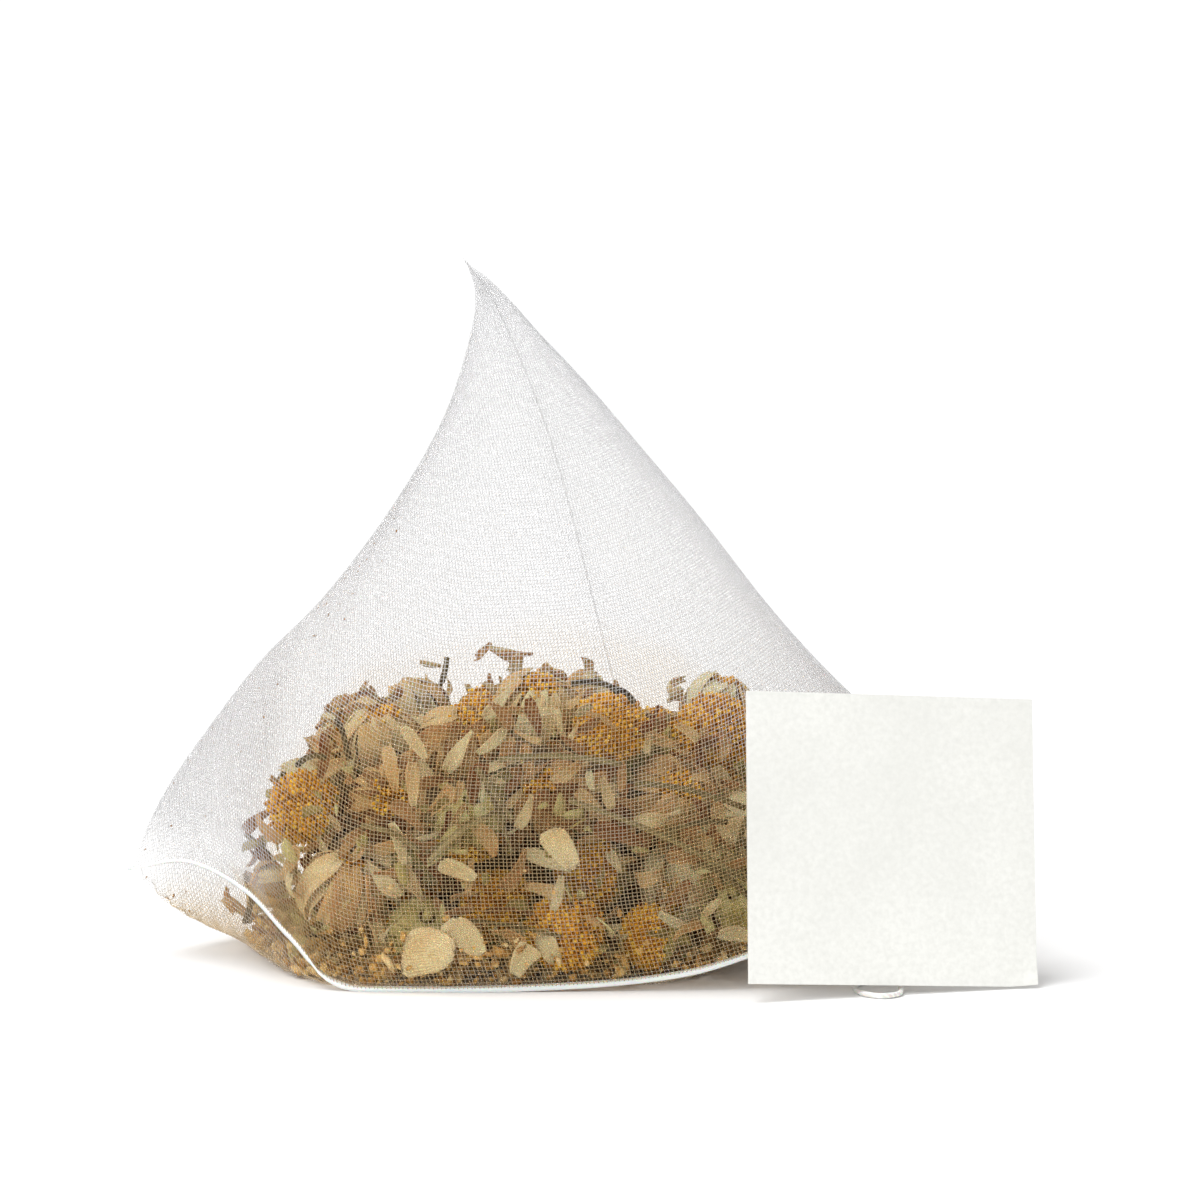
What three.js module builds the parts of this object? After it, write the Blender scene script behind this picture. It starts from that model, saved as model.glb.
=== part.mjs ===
// A pyramid tea bag: a woven mesh pouch of whole camomile flower heads, with a card tag on a thread.
// Millimetres, +Z up. The bag rests on its belly on z = 0 with its front seal towards -Y.
// The pouch is a tube of mesh, welded flat at one end (front seal B to D) and, a quarter turn
// round, at the other end (rear seal A to C). Filled, it stands up as a tetrahedron A B C D.
import * as THREE from 'three';

// driving dimensions
const MESH_WALL = 0.3;            // wall that stands for the weave
const SEAL_LIP = 0.5;             // width of the welded lip outside each seal
const ALONG = 14;                 // cells from seal to seal
const AROUND = 4 * ALONG;         // cells round the tube, so that the folds run along cell corners
const SMOOTHING = 1;              // passes that round the folds
const CRISP = 25;                 // distance from a corner within which the folds stay sharper
const FLOOR_CLEAR = MESH_WALL / 2;
const TAG = { width: 22.4, height: 21.4, thickness: 0.35 };
const THREAD = 0.4;               // diameter of the thread
const THREAD_SIDES = 8;
const GAP = 0.3;                  // clearance between neighbouring solids
const HEAD_COUNT = 44;            // flower heads in the bag
const SMALLEST_HEAD = 1.6;        // radius below which a head is left out
const HEAP_TOP = 23.6;            // height that no head stands above
const HEAP_FOOT = 0.6;            // and that none sinks below
const SETTLE_STEPS = 400;         // steps in which the heads find their places
const CENTRE = new THREE.Vector3(-2.17, 4.5, 0);  // middle of the object's footprint before centring

// the pouch's edges, each by a few points, and the corners they share
const v = (x, y, z) => new THREE.Vector3(x, y, z);
const A = v(-10.5, 0, 53.6);      // apex, a small horn that curls to -X
const B = v(-36.3, -5, 6.8);      // left ear
const C = v(4, 33, 6);            // rear corner
const D = v(30.6, -14.6, 13.1);   // right ear, behind the tag
const LEFT_EDGE = [A, v(-9.6, -1, 51.2), v(-10, -2, 48.2), v(-11.3, -4, 43.5), v(-13.1, -6, 39.6),
  v(-16.2, -8, 34.7), v(-19, -9, 31), v(-22, -9.5, 27.4), v(-25.9, -8, 23.7), v(-30, -6, 18.5),
  v(-33.5, -5, 13.5), v(-35.4, -5, 9.6), B];
const RIGHT_EDGE = [A, v(-8, -0.5, 51.7), v(-6.2, -2, 49.3), v(-2.8, -4, 45.5), v(1.6, -6, 40),
  v(6.7, -8, 34), v(11.8, -10, 27.7), v(17, -11.7, 22.5), v(22.5, -13, 18.1), D];
const FRONT_SEAL = [B, v(-31.4, -9, 8), v(-26.6, -14, 6.6), v(-23, -17.5, 3.6), v(-18.7, -20, 0.3),
  v(-8.8, -20.5, 0.2), v(2.9, -20, 0.8), v(10.4, -19.5, 2.4), v(20.8, -17.8, 6.7), D];
const REAR_SEAL = [A, v(-8, 14, 49), v(-4, 25, 38), v(0, 33, 22), C];
const REAR_LEFT_EDGE = [B, v(-33.6, -2, 3.2), v(-29.5, 3, 0.9), v(-24, 13, 0.8), v(-13, 25, 2), C];
const REAR_RIGHT_EDGE = [C, v(16, 24, 4.6), v(26, 5, 8), D];

const smooth = (points) => {
  const curve = new THREE.CatmullRomCurve3(points, false, 'catmullrom', 0.5);
  curve.arcLengthDivisions = 400;
  return curve;
};
const EDGES = {
  AB: smooth(LEFT_EDGE), AD: smooth(RIGHT_EDGE), BD: smooth(FRONT_SEAL),
  AC: smooth(REAR_SEAL), BC: smooth(REAR_LEFT_EDGE), CD: smooth(REAR_RIGHT_EDGE),
};
const CORNERS = { A, B, C, D };

// point at share f of the way along the edge from one corner to another
function edgePoint(from, to, f) {
  const share = THREE.MathUtils.clamp(f, 0, 1);
  if (EDGES[from + to]) return EDGES[from + to].getPointAt(share);
  return EDGES[to + from].getPointAt(1 - share);
}

// how far each face swells from its edges; weights are the shares of its three corners
const SWELL = {
  ABD: ([a, b, d]) => {
    const across = d / Math.max(b + d, 1e-9);
    const ear = 0.13 * Math.max(0, 1 - (a / 0.5) ** 2);
    const left = Math.sin((Math.PI / 2) * THREE.MathUtils.clamp((across - 0.75 * ear) / 0.34, 0, 1)) ** 0.8;
    const right = Math.sin((Math.PI / 2) * THREE.MathUtils.clamp((1 - across) / 0.5, 0, 1)) ** 0.8;
    const belly = 11.4 * left * right * Math.sqrt(a) * (1 - a) ** 0.8;
    const overhang = Math.exp(-(((across - ear - 0.05) / 0.1) ** 2)) * (ear / 0.13) * Math.min(1, 8 * a);
    return v(-0.1 * belly - 1.6 * overhang, -0.97 * belly - 2.5 * overhang, 0.22 * belly);
  },
  ACD: ([a, d, c]) => v(0.15, 0.9, 0.3).multiplyScalar(108 * a * c * d),
  ACB: ([a, c, b]) => v(-0.75, 0.55, 0.3).multiplyScalar(86 * a * b * c),
  CDB: ([c, d, b]) => {
    const lift = THREE.MathUtils.clamp((0.6 - d) / 0.35, 0, 1);
    return v(0, 0, -120 * Math.sqrt(Math.max(c, 0)) * b * d * lift);
  },
};

// a triangle with curved edges: each edge's curve fades out towards the opposite corner
function facePoint(names, weights, swell) {
  const point = v(0, 0, 0);
  names.forEach((name, k) => point.addScaledVector(CORNERS[name], weights[k]));
  for (let k = 0; k < 3; k += 1) {
    const next = (k + 1) % 3;
    const share = weights[k] + weights[next];
    const f = share > 1e-9 ? weights[next] / share : 0;
    const straight = CORNERS[names[k]].clone().lerp(CORNERS[names[next]], f);
    const bend = edgePoint(names[k], names[next], f).sub(straight);
    point.addScaledVector(bend, share ** 1.5);
  }
  return point.add(swell(weights));
}

// s runs once round the tube from B (0) past A (1/4) and D (1/2) to C (3/4); t runs from seal to seal
function pouchPoint(s, t) {
  const edge = 1e-9;
  if (s >= t / 4 - edge && s <= 0.5 - t / 4 + edge) {
    const d = 2 * s - t / 2;
    return facePoint(['A', 'B', 'D'], [t, 1 - t - d, d], SWELL.ABD);
  }
  if (s >= 0.5 + t / 4 - edge && s <= 1 - t / 4 + edge) {
    const b = 2 * s - 1 - t / 2;
    return facePoint(['C', 'D', 'B'], [t, 1 - t - b, b], SWELL.CDB);
  }
  if (s > 0.5 - t / 4 && s < 0.5 + t / 4) {
    const c = 2 * s - 1 + t / 2;
    return facePoint(['A', 'D', 'C'], [t - c, 1 - t, c], ([a, d, cc]) => SWELL.ACD([a, d, cc]));
  }
  const a = 2 * (s < 0.5 ? s : s - 1) + t / 2;
  return facePoint(['A', 'C', 'B'], [a, t - a, 1 - t], SWELL.ACB);
}

const wrap = (i) => (i + AROUND) % AROUND;
const partner = (i, j) => (j === 0 ? wrap(-i) : wrap(AROUND / 2 - i));   // welded to i at that seal

function cornerDistance(point) {
  return Math.min(...Object.values(CORNERS).map((corner) => corner.distanceTo(point)));
}

// the middle surface of the mesh, as a grid round the tube and along it
function pouchGrid() {
  const grid = [];
  for (let i = 0; i < AROUND; i += 1) {
    grid.push([]);
    for (let j = 0; j <= ALONG; j += 1) grid[i].push(pouchPoint(i / AROUND, j / ALONG));
  }
  for (const j of [0, ALONG]) {
    const welded = grid.map((column, i) => column[j].clone().add(grid[partner(i, j)][j]).divideScalar(2));
    welded.forEach((point, i) => grid[i][j].copy(point));
  }
  for (let pass = 0; pass < SMOOTHING; pass += 1) {
    const before = grid.map((column) => column.map((point) => point.clone()));
    for (let i = 0; i < AROUND; i += 1) {
      for (let j = 1; j < ALONG; j += 1) {
        const mean = before[wrap(i + 1)][j].clone().add(before[wrap(i - 1)][j]);
        mean.add(before[i][j + 1]).add(before[i][j - 1]).divideScalar(4);
        grid[i][j].lerp(mean, 0.5 * Math.min(1, cornerDistance(before[i][j]) / CRISP));
      }
    }
  }
  for (const column of grid) {
    for (const point of column) point.z = Math.max(point.z, FLOOR_CLEAR);
  }
  return grid;
}

// outward direction of the grid at every point
function gridNormals(grid) {
  return grid.map((column, i) => column.map((point, j) => {
    const round = grid[wrap(i + 1)][j].clone().sub(grid[wrap(i - 1)][j]);
    const along = grid[i][Math.min(j + 1, ALONG)].clone().sub(grid[i][Math.max(j - 1, 0)]);
    return round.cross(along).normalize();
  }));
}

function gridTriangles(grid) {
  const triangles = [];
  for (let i = 0; i < AROUND; i += 1) {
    for (let j = 0; j < ALONG; j += 1) {
      const [p, q, r, u] = [grid[i][j], grid[wrap(i + 1)][j], grid[wrap(i + 1)][j + 1], grid[i][j + 1]];
      triangles.push([p, q, r], [p, r, u]);
    }
  }
  return triangles;
}

// room from each point, straight inwards, to the far side of the pouch
function roomInside(grid, normals) {
  const triangles = gridTriangles(grid);
  const hit = v(0, 0, 0);
  return grid.map((column, i) => column.map((point, j) => {
    const inward = normals[i][j].clone().negate();
    const ray = new THREE.Ray(point.clone().addScaledVector(inward, 0.05), inward);
    let nearest = 50;
    for (const [p, q, r] of triangles) {
      if (ray.intersectTriangle(p, q, r, false, hit)) nearest = Math.min(nearest, hit.distanceTo(point));
    }
    return nearest;
  }));
}

function meshFromTriangles(positions, indices) {
  const geometry = new THREE.BufferGeometry();
  geometry.setAttribute('position', new THREE.Float32BufferAttribute(positions.flatMap((p) => p.toArray()), 3));
  geometry.setIndex(indices);
  geometry.computeVertexNormals();
  return geometry;
}

// the pouch as one thin closed wall: outer skin, welded lips, inner skin, and one open cell
function pouchGeometry(grid) {
  const normals = gridNormals(grid);
  const room = roomInside(grid, normals);
  const positions = [];
  const indices = [];
  const add = (point) => positions.push(point) - 1;
  const triangle = (a, b, c) => {
    if (a !== b && b !== c && a !== c) indices.push(a, b, c);
  };
  const quad = (a, b, c, d) => {
    triangle(a, b, c);
    triangle(a, c, d);
  };
  const outer = grid.map((column, i) => column.map((point, j) => {
    const raised = point.clone().addScaledVector(normals[i][j], MESH_WALL / 2);
    raised.z = Math.max(raised.z, 0);
    if (point.z <= FLOOR_CLEAR + 1e-6) raised.z = 0;
    return add(raised);
  }));
  const inner = grid.map((column, i) => column.map((point, j) => {
    if (j === 0 || j === ALONG) return -1;
    const depth = Math.min(MESH_WALL / 2, 0.35 * room[i][j]);
    return add(point.clone().addScaledVector(normals[i][j], -depth));
  }));
  const lips = {};
  for (const j of [0, ALONG]) {
    const next = j === 0 ? 1 : ALONG - 1;
    lips[j] = [];
    for (let i = 0; i < AROUND; i += 1) {
      const mate = partner(i, j);
      const root = grid[i][j];
      const away = root.clone().sub(grid[i][next].clone().add(grid[mate][next]).divideScalar(2)).normalize();
      const edge = root.clone().addScaledVector(away, SEAL_LIP);
      if (i !== mate) edge.addScaledVector(normals[i][j], MESH_WALL / 2);
      edge.z = Math.max(edge.z, 0);
      lips[j].push(add(edge));
      if (i === mate) {
        outer[i][j] = add(root.clone().addScaledVector(away, SEAL_LIP / 2));
        inner[i][j] = add(root.clone().addScaledVector(away, -MESH_WALL));
      } else if (inner[mate][j] >= 0) {
        inner[i][j] = inner[mate][j];
      } else {
        inner[i][j] = add(root.clone().addScaledVector(away, -MESH_WALL));
      }
    }
  }
  const open = { i: AROUND - 4, j: 8 };      // the open cell, on the rear left face
  for (let i = 0; i < AROUND; i += 1) {
    const n = wrap(i + 1);
    for (let j = 0; j < ALONG; j += 1) {
      if (i === open.i && j === open.j) {
        quad(outer[i][j], outer[n][j], inner[n][j], inner[i][j]);
        quad(outer[n][j], outer[n][j + 1], inner[n][j + 1], inner[n][j]);
        quad(outer[n][j + 1], outer[i][j + 1], inner[i][j + 1], inner[n][j + 1]);
        quad(outer[i][j + 1], outer[i][j], inner[i][j], inner[i][j + 1]);
      } else {
        quad(outer[i][j], outer[n][j], outer[n][j + 1], outer[i][j + 1]);
        quad(inner[i][j], inner[i][j + 1], inner[n][j + 1], inner[n][j]);
      }
    }
    quad(lips[0][i], lips[0][n], outer[n][0], outer[i][0]);
    quad(outer[i][ALONG], outer[n][ALONG], lips[ALONG][n], lips[ALONG][i]);
  }
  for (const j of [0, ALONG]) {
    const first = j === 0 ? 0 : AROUND / 4;
    for (let k = 0; k < AROUND / 2; k += 1) {
      const [i, n] = [wrap(first + k), wrap(first + k + 1)];
      const rim = [lips[j][i], lips[j][partner(i, j)], lips[j][partner(n, j)], lips[j][n]];
      if (j === 0) quad(...rim);
      else quad(...rim.reverse());
    }
  }
  return meshFromTriangles(positions, indices);
}

const MATERIALS = {
  mesh: new THREE.MeshStandardMaterial({ color: 0xf1f1ee, roughness: 0.55, metalness: 0 }),
  card: new THREE.MeshStandardMaterial({ color: 0xeeeee8, roughness: 0.8, metalness: 0 }),
  thread: new THREE.MeshStandardMaterial({ color: 0xf4f4f0, roughness: 0.6, metalness: 0 }),
  floret: new THREE.MeshStandardMaterial({ color: 0xc88a1e, roughness: 0.95, metalness: 0 }),
  petal: new THREE.MeshStandardMaterial({ color: 0xc9ab84, roughness: 0.95, metalness: 0 }),
  calyx: new THREE.MeshStandardMaterial({ color: 0xa9a672, roughness: 0.95, metalness: 0 }),
  crumb: new THREE.MeshStandardMaterial({ color: 0xa97f45, roughness: 1, metalness: 0 }),
};

function named(name, geometry, material) {
  const mesh = new THREE.Mesh(geometry, material);
  mesh.name = name;
  return mesh;
}

// a squat dome of florets on a cup of bracts with a stub of stalk, its middle near the origin, +Y up
function headGeometry(radius) {
  const r = radius;
  const profile = [[0, -1.0], [0.14, -1.0], [0.15, -0.72], [0.62, -0.5], [0.84, -0.05], [0.7, 0.42],
    [0.36, 0.72], [0, 0.8]];
  return new THREE.LatheGeometry(profile.map(([x, y]) => new THREE.Vector2(x * r, y * r)), 8);
}

// heads that show through the front: x, z, radius of the ball each one needs, kind, and the way its
// dome faces, as degrees round from the front towards +X and degrees up
const FRONT_HEADS = [
  [-0.8, 4.6, 3.3, 'floret', 10, 20], [-8.4, 7.4, 3.2, 'floret', -50, 40],
  [4.2, 4.6, 2.7, 'floret', -70, 10], [6.4, 19.9, 3.3, 'floret', 15, 40],
  [0.6, 17.6, 3.2, 'floret', -10, 45], [-21.8, 3.6, 2.0, 'floret', -20, 60],
  [-19.0, 8.4, 3.3, 'petal', 30, 60], [-12.6, 13.6, 2.9, 'calyx', 170, -70],
  [-8.8, 13.0, 3.1, 'calyx', 190, -60], [-2.0, 13.2, 3.2, 'petal', -40, 30],
  [3.0, 9.6, 3.2, 'floret', -60, 10], [-5.6, 20.4, 3.1, 'petal', 10, 60],
  [-14.8, 20.6, 3.0, 'petal', -20, 70], [-21.0, 14.8, 3.1, 'floret', -40, 25],
  [-10.4, 20.0, 3.0, 'petal', 30, 50], [7.4, 14.4, 3.2, 'petal', 20, 20],
  [8.6, 9.4, 3.1, 'petal', -20, -30], [-16.8, 16.6, 3.0, 'petal', 10, 20],
  [-14.4, 5.0, 3.0, 'calyx', 200, -40], [-24.4, 10.6, 3.0, 'petal', -60, 20],
  [12.6, 12.0, 3.1, 'petal', 30, 20], [14.0, 17.0, 3.1, 'petal', 20, 50],
  [11.6, 5.6, 2.9, 'calyx', 140, -40], [17.4, 8.4, 3.0, 'petal', 50, 30],
];

// a fixed sequence of numbers between 0 and 1, so that the heap is the same each time
function sequence(seed) {
  let state = seed;
  return () => {
    state = (state * 1664525 + 1013904223) % 4294967296;
    return state / 4294967296;
  };
}

// the loose filling between and under the heads: an oval dome with a flat underside
const HEAP = { centre: v(-5.5, 3.5, 2.4), half: v(17.5, 12, 14.3) };

// each head's place: from its starting place it sinks and is pushed off the mesh, the heap and the rest
function settleHeads(grid, normals) {
  const random = sequence(7);
  const kinds = ['petal', 'floret', 'calyx', 'petal', 'petal'];
  const heads = FRONT_HEADS.map(([x, z, radius, kind, round, up]) => (
    { place: v(x, -17 + 0.32 * z, z), radius, kind, round, up }));
  while (heads.length < HEAD_COUNT) {
    const angle = 2 * Math.PI * random();
    const place = v(-1 + 19 * Math.cos(angle), 6 + 12 * Math.sin(angle), 12 + 12 * random());
    const kind = kinds[heads.length % kinds.length];
    heads.push({ place, radius: 2.8 + 0.5 * random(), kind, round: 360 * random(), up: 70 * random() });
  }
  const apart = v(0, 0, 0);
  for (let step = 0; step < SETTLE_STEPS; step += 1) {
    for (const head of heads) {
      head.place.z -= step < SETTLE_STEPS / 2 ? 0.02 : 0;
      for (const other of heads) {
        apart.subVectors(head.place, other.place);
        const short = head.radius + other.radius + GAP - apart.length();
        if (other !== head && short > 0) head.place.addScaledVector(apart.normalize(), 0.5 * short);
      }
      pushOffHeap(head);
      pushOffMesh(head, grid, normals);
      head.place.z = THREE.MathUtils.clamp(head.place.z, HEAP_FOOT + head.radius, HEAP_TOP - head.radius);
    }
  }
  return fitHeads(heads, grid);
}

// room between a head's middle and the heap, and the direction that leads away from the heap
function heapRoom(head) {
  const q = head.place.clone().sub(HEAP.centre).divide(HEAP.half);
  const away = q.clone().divide(HEAP.half);
  const reach = q.length();
  return [(reach * (reach - 1)) / away.length(), away.normalize()];
}

function pushOffHeap(head) {
  const [room, away] = heapRoom(head);
  const short = head.radius + GAP - room;
  if (short > 0) head.place.addScaledVector(away, short);
}

function pushOffMesh(head, grid, normals) {
  const reach = head.radius + MESH_WALL / 2 + GAP;
  const from = v(0, 0, 0);
  for (let i = 0; i < AROUND; i += 1) {
    for (let j = 1; j < ALONG; j += 1) {
      from.subVectors(head.place, grid[i][j]);
      if (from.lengthSq() > 2 * reach * reach) continue;
      const inside = -from.dot(normals[i][j]);
      const aside = from.lengthSq() - inside * inside;
      if (aside < 9 && inside < reach) head.place.addScaledVector(normals[i][j], inside - reach);
    }
  }
}

// a head that still has no room for its ball is a smaller head
function fitHeads(heads, grid) {
  const closest = v(0, 0, 0);
  for (const head of heads) {
    let room = Math.min(head.radius, heapRoom(head)[0] - GAP);
    for (const [p, q, r] of gridTriangles(grid)) {
      new THREE.Triangle(p, q, r).closestPointToPoint(head.place, closest);
      room = Math.min(room, closest.distanceTo(head.place) - MESH_WALL / 2 - GAP);
    }
    for (const other of heads) {
      if (other !== head) room = Math.min(room, head.place.distanceTo(other.place) - other.radius - GAP);
    }
    head.radius = room;
  }
  return heads.filter((head) => head.radius > SMALLEST_HEAD);
}

function facing(roundDegrees, upDegrees) {
  const [round, up] = [roundDegrees, upDegrees].map(THREE.MathUtils.degToRad);
  return v(Math.sin(round) * Math.cos(up), -Math.cos(round) * Math.cos(up), Math.sin(up));
}

// the dome of loose filling, cut flat under its middle
function heapGeometry() {
  const rings = 7;
  const profile = [new THREE.Vector2(0, 0)];
  for (let k = 0; k <= rings; k += 1) {
    const angle = (Math.PI / 2) * (k / rings);
    profile.push(new THREE.Vector2(k === rings ? 0 : Math.cos(angle), Math.sin(angle)));
  }
  const geometry = new THREE.LatheGeometry(profile, 20);
  geometry.rotateX(Math.PI / 2);
  geometry.scale(HEAP.half.x, HEAP.half.y, HEAP.half.z);
  geometry.translate(HEAP.centre.x, HEAP.centre.y, HEAP.centre.z);
  return geometry;
}

// the thread: from the right ear down to the table, round a small coil, under the tag's edge and
// up its back
const COIL = { centre: v(22.4, -13.6, 0), across: 4.6, turnsWide: 3, turnsHigh: 2 };
const TO_BAG = [v(31, -14.7, 12.3), v(31.2, -14.3, 10), v(31.2, -14, 6.5), v(31, -13.6, 3.2),
  v(30.2, -13, 1.2), v(28.9, -12.2, 0.4), v(27, -11.3, 0.24), v(25.2, -10.9, 0.24)];
const TO_TAG = [v(20.3, -16.3, 0.24), v(19.2, -18.2, 0.24), v(18.8, -20.4, 0.24), v(19.3, -22.4, 0.24),
  v(20.6, -23.3, 0.24), v(21.8, -22.5, 0.24), v(22.1, -21, 0.26), v(22.1, -20, 0.5), v(22, -19.8, 1.4),
  v(22, -19.7, 3.2), v(21.9, -19.2, 6), v(21.8, -18.4, 9.5)];

function tubeGeometry(points, steps) {
  const ring = [];
  for (let k = 0; k < THREAD_SIDES; k += 1) {
    const angle = (2 * Math.PI * k) / THREAD_SIDES;
    ring.push(new THREE.Vector2(Math.cos(angle), Math.sin(angle)).multiplyScalar(THREAD / 2));
  }
  const extrusion = { steps, bevelEnabled: false, extrudePath: smooth(points) };
  return new THREE.ExtrudeGeometry(new THREE.Shape(ring), extrusion);
}

function coilGeometry() {
  const half = (COIL.turnsWide * THREAD) / 2 + 0.02;
  const [inner, outer] = [COIL.across / 2 - half, COIL.across / 2 + half];
  const top = COIL.turnsHigh * THREAD + 0.02;
  const section = [[inner, 0], [outer, 0], [outer, top], [inner, top], [inner, 0]];
  const ring = new THREE.LatheGeometry(section.map(([x, y]) => new THREE.Vector2(x, y)), 24);
  ring.rotateX(Math.PI / 2);
  return ring.translate(COIL.centre.x, COIL.centre.y, 0);
}

// the tag leans back on the right ear, turned a little and standing on its lower right corner
function tagMesh() {
  const tag = named('tag', new THREE.BoxGeometry(TAG.width, TAG.thickness, TAG.height), MATERIALS.card);
  tag.rotation.set(...[-12.4, 3.5, 16.8].map(THREE.MathUtils.degToRad), 'ZXY');
  tag.position.set(21.5, -19.35, 11.15);
  return tag;
}

const teaBag = new THREE.Group();
const grid = pouchGrid();
teaBag.add(named('mesh_bag', pouchGeometry(grid), MATERIALS.mesh));
teaBag.add(named('loose_filling', heapGeometry(), MATERIALS.crumb));
settleHeads(grid, gridNormals(grid)).forEach((head, k) => {
  const name = `${head.kind}_head_${String(k + 1).padStart(2, '0')}`;
  const mesh = named(name, headGeometry(head.radius), MATERIALS[head.kind]);
  mesh.quaternion.setFromUnitVectors(v(0, 1, 0), facing(head.round, head.up));
  mesh.position.copy(head.place);
  teaBag.add(mesh);
});
teaBag.add(tagMesh());
teaBag.add(named('thread_to_bag', tubeGeometry(TO_BAG, 22), MATERIALS.thread));
teaBag.add(named('thread_coil', coilGeometry(), MATERIALS.thread));
teaBag.add(named('thread_to_tag', tubeGeometry(TO_TAG, 26), MATERIALS.thread));
for (const piece of teaBag.children) piece.position.sub(CENTRE);

export default teaBag;
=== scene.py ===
"""A pyramid tea bag of fine woven mesh, full of dried camomile, with its card tag on a thread."""

import math

import bpy
import numpy as np
from mathutils import Matrix, Vector
from mathutils.bvhtree import BVHTree


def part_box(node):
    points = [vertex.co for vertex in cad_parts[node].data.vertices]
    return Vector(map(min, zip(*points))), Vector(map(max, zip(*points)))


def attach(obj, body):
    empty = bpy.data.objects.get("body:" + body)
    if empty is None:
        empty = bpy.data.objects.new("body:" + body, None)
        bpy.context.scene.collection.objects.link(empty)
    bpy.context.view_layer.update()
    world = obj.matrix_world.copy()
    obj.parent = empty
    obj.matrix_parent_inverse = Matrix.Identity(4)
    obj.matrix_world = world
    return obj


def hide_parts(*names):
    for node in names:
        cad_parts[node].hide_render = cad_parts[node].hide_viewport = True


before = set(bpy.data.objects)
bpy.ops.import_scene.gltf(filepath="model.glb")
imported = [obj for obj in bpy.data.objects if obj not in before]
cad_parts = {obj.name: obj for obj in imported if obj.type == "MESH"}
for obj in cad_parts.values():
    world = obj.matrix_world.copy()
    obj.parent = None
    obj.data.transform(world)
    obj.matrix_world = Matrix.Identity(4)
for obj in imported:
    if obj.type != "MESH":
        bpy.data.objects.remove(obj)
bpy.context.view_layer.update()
bpy.context.scene.view_settings.view_transform = "Standard"


# --- Camera -----------------------------------------------------------------------------------
# The bag is seen from straight in front, a little from above, through a long lens.

MM = 0.001
# the drawing's zero, in the middle of the front view, lies this far from the row frame's origin
DRAWING_ZERO = Vector((2.17, -4.5, 0.0))
LOOK_AT_HEIGHT = 27.17
CAMERA_DISTANCE = 330.0
CAMERA_RISE = math.radians(5.0)


def place(x, y, z):
    """A point of the drawing, in millimetres, as a point of the row frame, in metres."""
    return (Vector((x, y, z)) + DRAWING_ZERO) * MM


bpy.ops.object.camera_add(
    location=place(
        0.0,
        -CAMERA_DISTANCE * math.cos(CAMERA_RISE),
        LOOK_AT_HEIGHT + CAMERA_DISTANCE * math.sin(CAMERA_RISE),
    ),
    rotation=(math.pi / 2 - CAMERA_RISE, 0.0, 0.0),
)
camera = bpy.context.object
camera.name = "camera"
camera.data.sensor_width = 36.0
camera.data.lens = 127.2
camera.data.clip_start = 0.01
bpy.context.scene.camera = camera


# --- Thread -----------------------------------------------------------------------------------
# A white cotton thread, welded into the bag's right corner and glued to the back of the tag.
# Its slack is wound into a small flat coil on the table behind the tag.

THREAD_THICKNESS = 0.4
FROM_BAG = [
    (31, -14.7, 12.3), (31.2, -14.3, 10), (31.2, -14, 6.5), (31, -13.6, 3.2),
    (30.2, -13, 1.2), (28.9, -12.2, 0.4), (27, -11.3, 0.24), (25.2, -10.9, 0.24),
]
TO_TAG = [
    (20.3, -16.3, 0.24), (19.2, -18.2, 0.24), (18.8, -20.4, 0.24), (19.3, -22.4, 0.24),
    (20.6, -23.3, 0.24), (21.8, -22.5, 0.24), (22.1, -21, 0.26), (22.1, -20, 0.5),
    (22, -19.8, 1.4), (22, -19.7, 3.2), (21.9, -19.2, 6), (21.8, -18.4, 9.5),
]
COIL_MIDDLE = (22.4, -13.6)
COIL_RADII = (2.78, 1.9)         # outermost and innermost turn
COIL_HEIGHTS = (0.22, 0.62)      # lower and upper layer


def coil_points():
    """The coil: two turns inwards on the table, one that climbs, two outwards on top, and off."""
    stations = [0.0, 2.0, 3.0, 5.0, 5.35]
    radii = [COIL_RADII[0], COIL_RADII[1], COIL_RADII[1], COIL_RADII[0], 3.25]
    heights = [COIL_HEIGHTS[0], COIL_HEIGHTS[0], COIL_HEIGHTS[1], COIL_HEIGHTS[1], 0.3]
    points = []
    for turn in np.arange(0.0, 5.36, 1 / 16):
        angle = math.pi / 2 + 2 * math.pi * turn
        radius = np.interp(turn, stations, radii)
        points.append(
            (
                COIL_MIDDLE[0] + radius * math.cos(angle),
                COIL_MIDDLE[1] + radius * math.sin(angle),
                np.interp(turn, stations, heights),
            )
        )
    return points


def smooth_line(points, steps):
    """Points along a smooth curve through the given points, evenly spaced."""
    p = np.array(points, float)
    p = np.vstack([2 * p[0] - p[1], p, 2 * p[-1] - p[-2]])
    line = []
    for k in range(1, len(p) - 2):
        u = np.linspace(0, 1, 24, endpoint=False)[:, None]
        a, b, c, d = p[k - 1], p[k], p[k + 1], p[k + 2]
        line.append(
            0.5 * (2 * b + (c - a) * u + (2 * a - 5 * b + 4 * c - d) * u**2
                   + (3 * b - a - 3 * c + d) * u**3)
        )
    line = np.vstack(line + [p[-2:-1]])
    run = np.concatenate([[0], np.cumsum(np.linalg.norm(np.diff(line, axis=0), axis=1))])
    return np.stack(
        [np.interp(np.linspace(0, run[-1], steps), run, line[:, k]) for k in range(3)], axis=1
    )


thread_path = smooth_line(FROM_BAG + coil_points() + TO_TAG, 560)
thread_curve = bpy.data.curves.new("thread", "CURVE")
thread_curve.dimensions = "3D"
thread_curve.bevel_depth = THREAD_THICKNESS / 2 * MM
thread_curve.bevel_resolution = 2
thread_curve.use_fill_caps = True
thread_spline = thread_curve.splines.new("POLY")
thread_spline.points.add(len(thread_path) - 1)
for knot, point in zip(thread_spline.points, thread_path):
    knot.co = (*place(*point), 1.0)
thread = bpy.data.objects.new("thread", thread_curve)
bpy.context.collection.objects.link(thread)


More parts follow.
